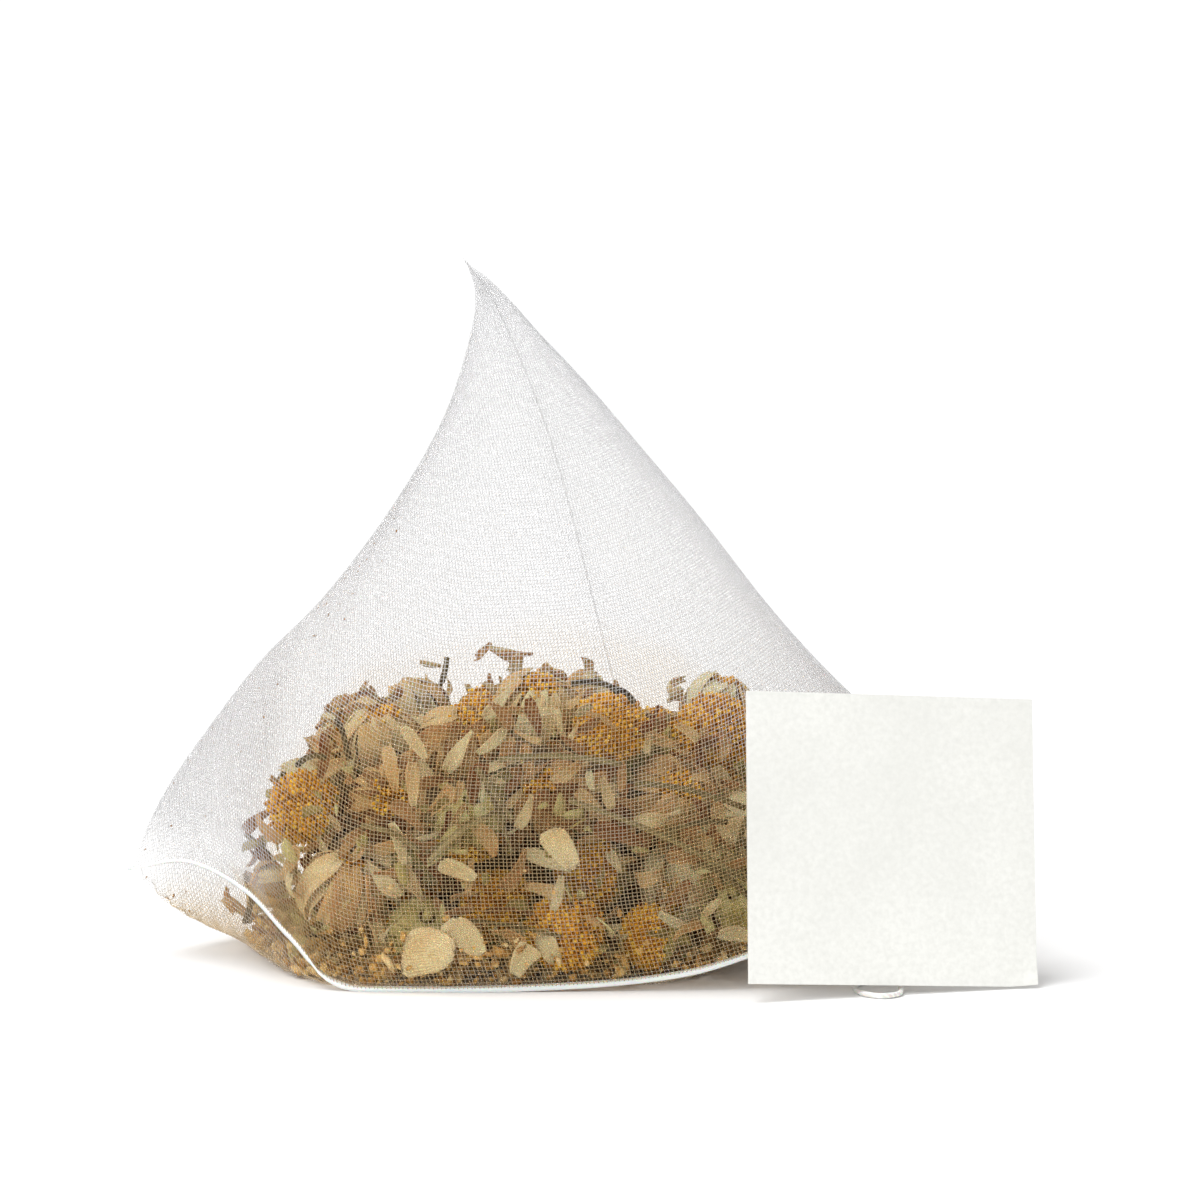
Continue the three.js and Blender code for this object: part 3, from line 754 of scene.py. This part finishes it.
def petal_head(chance):
    """A bud wrapped in its folded petals, with a little of the dome showing at the top."""
    parts = [(core_shape[0] * 0.9, core_shape, 0.0, 0), (stub_shape[0], stub_shape, 0.5, 2)]
    parts += florets(chance, 90, math.radians(88), math.radians(52))
    tone = chance.uniform(0.1, 0.9)
    for k in range(15):
        round_at = 2 * math.pi * k / 15 + chance.normal() * 0.12
        parts.append(
            (wrap(petal_shape, round_at, -0.5 + 0.12 * chance.normal(), chance.uniform(0.9, 1.35),
                  0.8 + 0.04 * (k % 3), 1.9, 0.12 * chance.normal(), 0.35 * chance.normal()),
             petal_shape, tone + 0.18 * chance.normal(), 1)
        )
    for _ in range(chance.integers(2, 6)):
        parts.append(
            (droop(petal_shape, chance.uniform(0, 6.3), 0.6, chance.uniform(0.7, 1.1),
                   chance.normal() * 0.7, chance.normal() * 0.8, chance.normal()),
             petal_shape, tone + 0.2 * chance.normal(), 1)
        )
    parts += cup(chance, [(-1.2, -0.3, 12)], 2, 0.4)
    return parts


def calyx_head(chance):
    """A cup of pale bracts in three rings, with drooping petals and a thin rim of florets."""
    parts = [(core_shape[0] * 0.92, core_shape, 0.2, 0), (stub_shape[0], stub_shape, 0.6, 2)]
    parts += florets(chance, 200, math.radians(80), math.radians(5))
    parts += cup(chance, [(-0.75, 0.1, 13), (-1.0, -0.25, 12), (-1.3, -0.7, 9)], 2, 0.65)
    for _ in range(10):
        parts.append(
            (droop(petal_shape, chance.uniform(0, 6.3), 0.72, chance.uniform(0.6, 1.0),
                   -chance.uniform(0.2, 1.5), chance.normal() * 0.5, chance.normal() * 0.8),
             petal_shape, chance.uniform(0.2, 1), 1)
        )
    return parts


def dried_surface():
    """The shared look of dried plant: fibres along the scrap, blotches and dust over them."""
    group = bpy.data.node_groups.new("dried plant", "ShaderNodeTree")
    for name, kind in (("Dark", "NodeSocketColor"), ("Middle", "NodeSocketColor"),
                       ("Pale", "NodeSocketColor"), ("Fibres", "NodeSocketFloat"),
                       ("Blotches", "NodeSocketFloat")):
        group.interface.new_socket(name=name, in_out="INPUT", socket_type=kind)
    group.interface.new_socket(name="Color", in_out="OUTPUT", socket_type="NodeSocketColor")
    group.interface.new_socket(name="Height", in_out="OUTPUT", socket_type="NodeSocketFloat")
    inner, join = group.nodes, group.links
    entry, leave = inner.new("NodeGroupInput"), inner.new("NodeGroupOutput")
    spot, tone = inner.new("ShaderNodeTexCoord"), inner.new("ShaderNodeAttribute")
    tone.attribute_name = "tone"
    blotch = inner.new("ShaderNodeTexNoise")
    blotch.inputs["Detail"].default_value = 5.0
    blotch.inputs["Roughness"].default_value = 0.65
    stripe = inner.new("ShaderNodeTexWave")
    stripe.bands_direction = "X"
    stripe.inputs["Distortion"].default_value = 1.5
    stripe.inputs["Detail"].default_value = 3.0
    wander = inner.new("ShaderNodeMath")
    wander.operation = "MULTIPLY_ADD"
    wander.inputs[1].default_value = 0.9
    wander.inputs[2].default_value = -0.45
    shift = inner.new("ShaderNodeMath")
    shift.operation = "ADD"
    low_mix, high_mix = inner.new("ShaderNodeMix"), inner.new("ShaderNodeMix")
    low, high = inner.new("ShaderNodeMapRange"), inner.new("ShaderNodeMapRange")
    low.inputs["From Max"].default_value = 0.5
    high.inputs["From Min"].default_value = 0.5
    for mix in (low_mix, high_mix):
        mix.data_type = "RGBA"
    veins = inner.new("ShaderNodeMix")
    veins.data_type = "RGBA"
    veins.blend_type = "MULTIPLY"
    veins.inputs["Factor"].default_value = 0.45
    vein_shade = inner.new("ShaderNodeValToRGB")
    set_ramp(vein_shade, (0, (0.42, 0.32, 0.22)), (0.45, (1, 1, 1)))
    relief = inner.new("ShaderNodeMath")
    relief.operation = "ADD"
    for source, target in (
        (spot.outputs["Object"], blotch.inputs["Vector"]),
        (entry.outputs["Blotches"], blotch.inputs["Scale"]),
        (spot.outputs["UV"], stripe.inputs["Vector"]),
        (entry.outputs["Fibres"], stripe.inputs["Scale"]),
        (blotch.outputs["Fac"], wander.inputs[0]),
        (wander.outputs["Value"], shift.inputs[0]),
        (tone.outputs["Fac"], shift.inputs[1]),
        (shift.outputs["Value"], low.inputs["Value"]),
        (shift.outputs["Value"], high.inputs["Value"]),
        (low.outputs["Result"], low_mix.inputs["Factor"]),
        (entry.outputs["Dark"], low_mix.inputs["A"]),
        (entry.outputs["Middle"], low_mix.inputs["B"]),
        (high.outputs["Result"], high_mix.inputs["Factor"]),
        (low_mix.outputs["Result"], high_mix.inputs["A"]),
        (entry.outputs["Pale"], high_mix.inputs["B"]),
        (stripe.outputs["Fac"], vein_shade.inputs["Fac"]),
        (high_mix.outputs["Result"], veins.inputs["A"]),
        (vein_shade.outputs["Color"], veins.inputs["B"]),
        (veins.outputs["Result"], leave.inputs["Color"]),
        (stripe.outputs["Fac"], relief.inputs[0]),
        (blotch.outputs["Fac"], relief.inputs[1]),
        (relief.outputs["Value"], leave.inputs["Height"]),
    ):
        join.new(source, target)
    return group


dried_plant = dried_surface()


def dried_material(name, dark, middle, pale, fibres, blotches, roughness, glow):
    """A dried plant material in three colours, from its darkest scraps to its palest."""
    material = bpy.data.materials.new(name)
    material.use_nodes = True
    nodes, links = material.node_tree.nodes, material.node_tree.links
    shader = nodes["Principled BSDF"]
    shader.inputs["Roughness"].default_value = roughness
    shader.inputs["Specular IOR Level"].default_value = 0.25
    shader.inputs["Subsurface Weight"].default_value = glow
    shader.inputs["Subsurface Scale"].default_value = 0.0006
    look = nodes.new("ShaderNodeGroup")
    look.node_tree = dried_plant
    for socket, colour in (("Dark", dark), ("Middle", middle), ("Pale", pale)):
        look.inputs[socket].default_value = (*colour, 1)
    look.inputs["Fibres"].default_value = fibres
    look.inputs["Blotches"].default_value = blotches
    relief = nodes.new("ShaderNodeBump")
    relief.inputs["Strength"].default_value = 0.7
    relief.inputs["Distance"].default_value = 0.0001
    links.new(look.outputs["Color"], shader.inputs["Base Color"])
    links.new(look.outputs["Height"], relief.inputs["Height"])
    links.new(relief.outputs["Normal"], shader.inputs["Normal"])
    return material


florets_gold = dried_material(
    "golden florets", (0.32, 0.11, 0.005), (0.80, 0.37, 0.02), (0.96, 0.60, 0.07),
    1.0, 900.0, 0.9, 0.1
)
petals_straw = dried_material(
    "straw petals", (0.20, 0.075, 0.02), (0.74, 0.44, 0.17), (0.98, 0.80, 0.46),
    5.0, 500.0, 0.8, 0.2
)
bracts_green = dried_material(
    "pale green bracts", (0.20, 0.13, 0.03), (0.58, 0.47, 0.15), (0.88, 0.80, 0.38),
    4.0, 600.0, 0.8, 0.1
)

HEAD_FULLNESS = 1.1              # the heads touch where their plain solids stand a little apart
HEAD_KINDS = {"floret": floret_head, "petal": petal_head, "calyx": calyx_head}
head_nodes = sorted(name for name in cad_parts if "_head_" in name)
for number, node in enumerate(head_nodes):
    chance = np.random.default_rng(100 + number)
    kind = node.split("_")[0]
    middle, axis, radius = head_axis(node)
    head = gather(node.replace("_head_", "_flower_"), HEAD_KINDS[kind](chance))
    spin = chance.uniform(0, 2 * math.pi)
    points = turned(points_of(head.data), axis, spin, middle, radius * HEAD_FULLNESS)
    move_points(head, press_inside(points))
    for material in (florets_gold, petals_straw, bracts_green):
        head.data.materials.append(material)
    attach(head, "root")
    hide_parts(node)


# --- Loose filling ----------------------------------------------------------------------------
# What has fallen off the heads and fills the bag between and under them: single petals, bracts
# and florets, thin stalks, and golden dust that has sunk to the bottom.

chance = np.random.default_rng(11)


# the middle of the heap: a lumpy brown mound that the scraps lie on
heap_low, heap_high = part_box("loose_filling")
bpy.ops.object.select_all(action="DESELECT")
bpy.ops.mesh.primitive_ico_sphere_add(subdivisions=5, radius=1.0)
mound = bpy.context.object
mound.name = "heap_middle"
for vertex in mound.data.vertices:
    x, y, z = vertex.co
    lump = 1 - 0.05 * (1 + math.sin(11 * x + 7 * y) * math.sin(9 * z + 5 * x))
    vertex.co = (
        (heap_low.x + heap_high.x) / 2 + x * lump * (heap_high.x - heap_low.x) / 2 * 1.02,
        (heap_low.y + heap_high.y) / 2 + y * lump * (heap_high.y - heap_low.y) / 2 * 1.02,
        heap_low.z + max(0.0, z) * lump * (heap_high.z - heap_low.z),
    )
mound.data.polygons.foreach_set("use_smooth", np.ones(len(mound.data.polygons), bool))
crumbs_brown = dried_material(
    "brown crumbs", (0.07, 0.04, 0.015), (0.22, 0.13, 0.05), (0.42, 0.26, 0.10),
    1.0, 1500.0, 1.0, 0.0
)
mound.data.materials.append(crumbs_brown)


head_balls = [head_axis(node) for node in head_nodes]
BALL_MIDDLES = np.array([middle for middle, _, _ in head_balls])
BALL_RADII = np.array([radius for _, _, radius in head_balls])


def in_front_of_head(point, out):
    """Whether a scrap at this place would hide a flower head from the cloth."""
    to_ball = BALL_MIDDLES - point
    ahead = to_ball @ -out
    aside = np.sqrt(np.maximum((to_ball**2).sum(1) - ahead**2, 0))
    return bool(np.any((aside < 0.9 * BALL_RADII) & (ahead > 0) & (ahead < 5 * MM)))


def spots_inside(
    count, depth_low, depth_high, lowest, front_share, low_bias, over_heads=0.06, below=0.0
):
    """Places just inside the cloth and under the heap's top, with the way out at each."""
    spots = []
    while len(spots) < count:
        s = chance.uniform(0.0, 0.5) if chance.uniform() < front_share else chance.uniform(0.5, 1.0)
        t = chance.uniform(0.02, 0.85)
        skin = sample(pouch, np.array(s), np.array(t))
        out = sample(pouch_out, np.array(s), np.array(t))
        point = skin - out * chance.uniform(depth_low, depth_high)
        top = heap_height(point[0]) - below
        if point[2] > top or point[2] < lowest:
            continue
        if chance.uniform() > (1 - point[2] / top) ** low_bias:
            continue
        out = out / max(np.linalg.norm(out), 1e-9)
        if in_front_of_head(point, out) and chance.uniform() > over_heads:
            continue
        spots.append((point, out))
    return spots


def loose_turn(out, lean):
    """A turn that lays a scrap's +Z roughly along the way out, spun at random."""
    way = Vector(out) + Vector(chance.normal(size=3)) * lean
    turn = way.to_track_quat("Z", "Y").to_matrix() @ Matrix.Rotation(chance.uniform(0, 6.3), 3, "Z")
    return np.array(turn)


def crumpled(shape, length, curl, twist):
    """A loose petal or bract, curled along its length and twisted."""
    u, v, h = shape[0][:, 0], shape[0][:, 1] - 0.5, shape[0][:, 2]
    bend = curl * v
    x = u * np.cos(twist * v) - h * np.sin(twist * v)
    z = u * np.sin(twist * v) + h * np.cos(twist * v) + curl * v * v * 0.5
    return np.stack([x, v * np.cos(bend * 0.5), z], axis=1) * length


petals = []
for point, out in spots_inside(640, 1.0 * MM, 5.0 * MM, 0.5 * MM, 0.55, 0.0, 0.04, 1.6 * MM):
    length = chance.uniform(1.6, 4.0) * MM
    shape = crumpled(petal_shape, length, chance.normal() * 1.4, chance.normal() * 1.2)
    petals.append((shape @ loose_turn(out, 0.55).T + point, petal_shape, chance.uniform(), 0))

# pale petals that lie against the front: x and z on the drawing, length, spin, curl and fullness
FRONT_PETALS = [
    (-12.6, 3.0, 5.6, 85, 3.2, 2.2), (-9.9, 4.2, 4.4, 40, 2.4, 1.6), (-5.6, 2.4, 4.4, -35, 3.4, 1.3),
    (-3.6, 2.8, 3.6, 20, -2.8, 1.3), (-10.4, 9.2, 4.0, 65, 3.0, 1.0), (-2.8, 10.8, 4.6, 30, 2.8, 1.4),
    (-14.8, 11.2, 3.6, 15, 2.0, 0.8), (10.2, 4.0, 3.6, 75, 2.2, 1.1), (-13.6, 18.6, 3.4, 35, 2.2, 0.9),
]
for x, z, length, spin, curl, fullness in FRONT_PETALS:
    spot, normal, _, _ = inside_wall.ray_cast(place(x, -60, z), Vector((0, 1, 0)))
    out = normal if normal.y < 0 else -normal
    shape = crumpled(petal_shape, length * MM, curl, 1.4) * np.array([fullness, 1.0, 1.0])
    turn = out.to_track_quat("Z", "Y").to_matrix() @ Matrix.Rotation(math.radians(spin), 3, "Z")
    petals.append((shape @ np.array(turn).T + np.array(spot - out * 0.9 * MM), petal_shape, 0.9, 0))

# more of them cover the heap's middle
for vertex in chance.choice(len(mound.data.vertices), 700, replace=False):
    root = mound.data.vertices[int(vertex)]
    if root.co.z < 1.0 * MM:
        continue
    length = chance.uniform(1.6, 3.8) * MM
    shape = crumpled(petal_shape, length, chance.normal() * 1.2, chance.normal())
    spot = np.array(root.co + root.normal * 0.35 * MM)
    shape = shape @ loose_turn(root.normal, 0.35).T + spot
    petals.append((shape, petal_shape, chance.uniform(-0.3, 0.8), 0))
loose_petals = gather("loose_petals", petals)
loose_petals.data.materials.append(petals_straw)

bracts = []
for point, out in spots_inside(260, 1.2 * MM, 4.0 * MM, 0.3 * MM, 0.6, 0.5, 0.06, 1.8 * MM):
    length = chance.uniform(0.8, 2.2) * MM
    shape = crumpled(bract_shape, length, chance.normal(), chance.normal())
    bracts.append((shape @ loose_turn(out, 0.8).T + point, bract_shape, chance.uniform(), 0))
loose_bracts = gather("loose_bracts", bracts)
loose_bracts.data.materials.append(bracts_green)

# crumbs and dust: florets and broken bits, most of them low down
crumbs = []
for point, out in spots_inside(5200, 0.2 * MM, 2.2 * MM, 0.2 * MM, 0.6, 14.0, over_heads=0.3):
    size = abs(chance.normal()) * 0.10 * MM + 0.10 * MM
    stretch = 1 + np.abs(chance.normal(size=3)) * np.array([0.9, 0.5, 0.1])
    uneven = 1 + 0.25 * chance.normal(size=(len(floret_shape[0]), 1))
    shape = floret_shape[0] * stretch * size * uneven
    crumbs.append((shape @ loose_turn(out, 1.0).T + point, floret_shape, chance.uniform(), 0))
for _ in range(60):              # specks that cling in the folds of the left ear
    t = chance.uniform(0.02, 0.6)
    s = t / 4 + chance.uniform(-0.06, 0.05)
    point = sample(pouch, np.array(s), np.array(t))
    point = point - sample(pouch_out, np.array(s), np.array(t)) * 0.15 * MM
    shape = floret_shape[0] * chance.uniform(0.05, 0.13) * MM * np.array([1.6, 1.0, 0.6])
    crumbs.append((shape @ loose_turn(chance.normal(size=3), 1.0).T + point, floret_shape, -0.4, 0))
loose_crumbs = gather("crumbs_and_dust", crumbs)
dust_gold = dried_material(
    "golden dust", (0.40, 0.20, 0.05), (0.72, 0.44, 0.13), (0.90, 0.70, 0.36), 1.0, 1200.0, 1.0, 0.1
)
loose_crumbs.data.materials.append(dust_gold)


def stalk(start, end, sag, thickness, tone):
    """A thin stalk between two places, slightly bent, six-sided."""
    line = np.linspace(start, end, 9)
    line += np.sin(np.linspace(0, math.pi, 9))[:, None] * sag
    along = np.gradient(line, axis=0)
    along /= np.linalg.norm(along, axis=1, keepdims=True)
    side = np.cross(along, [0.3, 0.2, 0.93])
    side /= np.linalg.norm(side, axis=1, keepdims=True)
    other = np.cross(along, side)
    angles = np.arange(6) * math.pi / 3
    rings = line[:, None] + thickness * (
        np.cos(angles)[None, :, None] * side[:, None]
        + np.sin(angles)[None, :, None] * other[:, None]
    )
    index = np.arange(54).reshape(9, 6)
    nxt = np.roll(index, -1, 1)
    quads = np.stack([index[:-1], nxt[:-1], nxt[1:], index[1:]], -1).reshape(-1, 4)
    start_cap = [[0, k + 1, k] for k in range(1, 5)]
    end_cap = [[48, 48 + k, 49 + k] for k in range(1, 5)]
    faces = np.vstack([quads[:, [0, 1, 2]], quads[:, [0, 2, 3]], start_cap, end_cap])
    uvs = np.stack([np.tile(np.arange(6) / 6, 9), np.repeat(np.arange(9) / 8, 6)], 1)[faces]
    return rings.reshape(-1, 3), (None, faces, uvs), tone, 0


# stalks that show through the front: start and end as x and z on the drawing, and their tone
FRONT_STALKS = [
    (-7.5, 17.4, 1.6, 17.0, 0.75), (-2.2, 14.4, 11.0, 8.2, 0.7), (2.6, 15.6, 10.8, 13.6, 0.5),
    (-2.0, 22.8, 1.6, 22.2, 0.1), (1.2, 22.2, 2.6, 21.4, 0.1), (-19.6, 20.0, -18.6, 17.2, 0.1),
    (-22.6, 16.6, -20.4, 17.2, 0.15), (7.2, 9.6, 11.2, 6.8, 0.35), (-12.6, 9.8, -8.2, 13.2, 0.8),
    (-17.6, 12.4, -13.2, 10.6, 0.6), (4.4, 11.6, 9.4, 12.6, 0.3),
]
stalks = []
for x0, z0, x1, z1, tone in FRONT_STALKS:
    ends = []
    for x, z in ((x0, z0), (x1, z1)):
        ray = Vector(place(x, -60, z))
        spot, normal, _, _ = inside_wall.ray_cast(ray, Vector((0, 1, 0)))
        ends.append(np.array(spot - normal * 0.5 * MM))
    stalks.append(stalk(*ends, np.array([0, -0.4, 0.5]) * MM, 0.24 * MM, tone))
for point, out in spots_inside(50, 0.6 * MM, 3.0 * MM, 1.0 * MM, 0.5, 0.0, 0.06, 3.0 * MM):
    way = np.cross(out, chance.normal(size=3))
    way *= chance.uniform(1.5, 4.5) * MM / np.linalg.norm(way)
    thickness = chance.uniform(0.12, 0.26) * MM
    stalks.append(stalk(point - way, point + way, out * -0.6 * MM, thickness, chance.uniform()))
loose_stalks = gather("loose_stalks", stalks)
stalks_olive = dried_material(
    "olive stalks", (0.06, 0.04, 0.02), (0.26, 0.19, 0.07), (0.50, 0.42, 0.20),
    6.0, 700.0, 0.75, 0.1
)
loose_stalks.data.materials.append(stalks_olive)

for piece in (loose_petals, loose_bracts, loose_crumbs, loose_stalks):
    move_points(piece, press_inside(points_of(piece.data)))
for piece in (mound, loose_petals, loose_bracts, loose_crumbs, loose_stalks):
    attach(piece, "root")
    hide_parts("loose_filling")


# --- Tag --------------------------------------------------------------------------------------
# A square of thick off-white card, die-cut, with one corner a little bruised. It stands on its
# lower edge and leans back on the bag's right corner.

TAG_SIZE = (22.4, 0.35, 21.4)
TAG_MIDDLE = (21.5, -19.35, 11.15)
TAG_TURN = (math.radians(-12.4), math.radians(3.5), math.radians(16.8))

bpy.ops.object.select_all(action="DESELECT")
bpy.ops.mesh.primitive_cube_add(size=1.0)
tag = bpy.context.object
tag.name = "tag_card"
tag.scale = [side * MM for side in TAG_SIZE]
bpy.ops.object.transform_apply(location=False, rotation=False, scale=True)
bpy.ops.object.mode_set(mode="EDIT")
bpy.ops.mesh.select_all(action="SELECT")
bpy.ops.mesh.subdivide(number_cuts=20)
bpy.ops.object.mode_set(mode="OBJECT")
for vertex in tag.data.vertices:
    bruise = max(0.0, vertex.co.x / MM - vertex.co.z / MM - 20.2)
    vertex.co.y -= 0.16 * MM * bruise
    vertex.co.z += 0.10 * MM * bruise
bpy.ops.object.modifier_add(type="BEVEL")
tag.modifiers[-1].width = 0.05 * MM
tag.modifiers[-1].segments = 2
bpy.ops.object.modifier_apply(modifier=tag.modifiers[-1].name)
tilt = (
    Matrix.Rotation(TAG_TURN[2], 4, "Z") @ Matrix.Rotation(TAG_TURN[0], 4, "X")
    @ Matrix.Rotation(TAG_TURN[1], 4, "Y")
)
tag.data.transform(Matrix.Translation(place(*TAG_MIDDLE)) @ tilt)

card = bpy.data.materials.new("off-white card")
card.use_nodes = True
nodes, links = card.node_tree.nodes, card.node_tree.links
shader = nodes["Principled BSDF"]
shader.inputs["Roughness"].default_value = 0.85
shader.inputs["Specular IOR Level"].default_value = 0.3
where = nodes.new("ShaderNodeTexCoord")
pulp = nodes.new("ShaderNodeTexNoise")
pulp.inputs["Scale"].default_value = 2600.0
pulp.inputs["Detail"].default_value = 6.0
cloud = nodes.new("ShaderNodeTexNoise")
cloud.inputs["Scale"].default_value = 90.0
both = nodes.new("ShaderNodeMath")
both.operation = "MULTIPLY"
paper = nodes.new("ShaderNodeValToRGB")
set_ramp(paper, (0.12, (0.76, 0.76, 0.72)), (0.4, (0.85, 0.85, 0.81)))
tooth = nodes.new("ShaderNodeBump")
tooth.inputs["Strength"].default_value = 0.25
tooth.inputs["Distance"].default_value = 0.00005
links.new(where.outputs["Object"], pulp.inputs["Vector"])
links.new(where.outputs["Object"], cloud.inputs["Vector"])
links.new(pulp.outputs["Fac"], both.inputs[0])
links.new(cloud.outputs["Fac"], both.inputs[1])
links.new(both.outputs["Value"], paper.inputs["Fac"])
links.new(paper.outputs["Color"], shader.inputs["Base Color"])
links.new(pulp.outputs["Fac"], tooth.inputs["Height"])
links.new(tooth.outputs["Normal"], shader.inputs["Normal"])
tag.data.materials.append(card)
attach(tag, "root")
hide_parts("tag")


# --- Studio -----------------------------------------------------------------------------------
# A seamless white table under a bright, even sky of soft light, with one softbox from the left.

bpy.ops.object.select_all(action="DESELECT")
bpy.ops.mesh.primitive_plane_add(size=8.0, location=(0, 0, 0))
table = bpy.context.object
table.name = "table"
table_white = bpy.data.materials.new("white table")
table_white.use_nodes = True
shader = table_white.node_tree.nodes["Principled BSDF"]
shader.inputs["Base Color"].default_value = (0.96, 0.96, 0.96, 1)
shader.inputs["Roughness"].default_value = 1.0
shader.inputs["Specular IOR Level"].default_value = 0.0
table.data.materials.append(table_white)

world = bpy.data.worlds.new("white studio")
world.use_nodes = True
nodes, links = world.node_tree.nodes, world.node_tree.links
sky = nodes["Background"]
sky.inputs["Color"].default_value = (1, 1, 1, 1)
seen = nodes.new("ShaderNodeLightPath")
brightness = nodes.new("ShaderNodeMapRange")
brightness.inputs["To Min"].default_value = 0.58
brightness.inputs["To Max"].default_value = 1.1
links.new(seen.outputs["Is Camera Ray"], brightness.inputs["Value"])
links.new(brightness.outputs["Result"], sky.inputs["Strength"])
bpy.context.scene.world = world

bpy.ops.object.light_add(type="SUN", rotation=(math.radians(8), math.radians(-22), 0))
overhead = bpy.context.object
overhead.name = "overhead softbox"
overhead.data.energy = 1.75
overhead.data.angle = math.radians(35)
bpy.ops.object.light_add(type="AREA", location=(-0.30, -0.60, 0.32))
front = bpy.context.object
front.name = "front softbox"
front.data.size = 0.5
front.data.energy = 1.8
front.rotation_euler = Vector((0.30, 0.60, -0.30)).to_track_quat("-Z", "Y").to_euler()
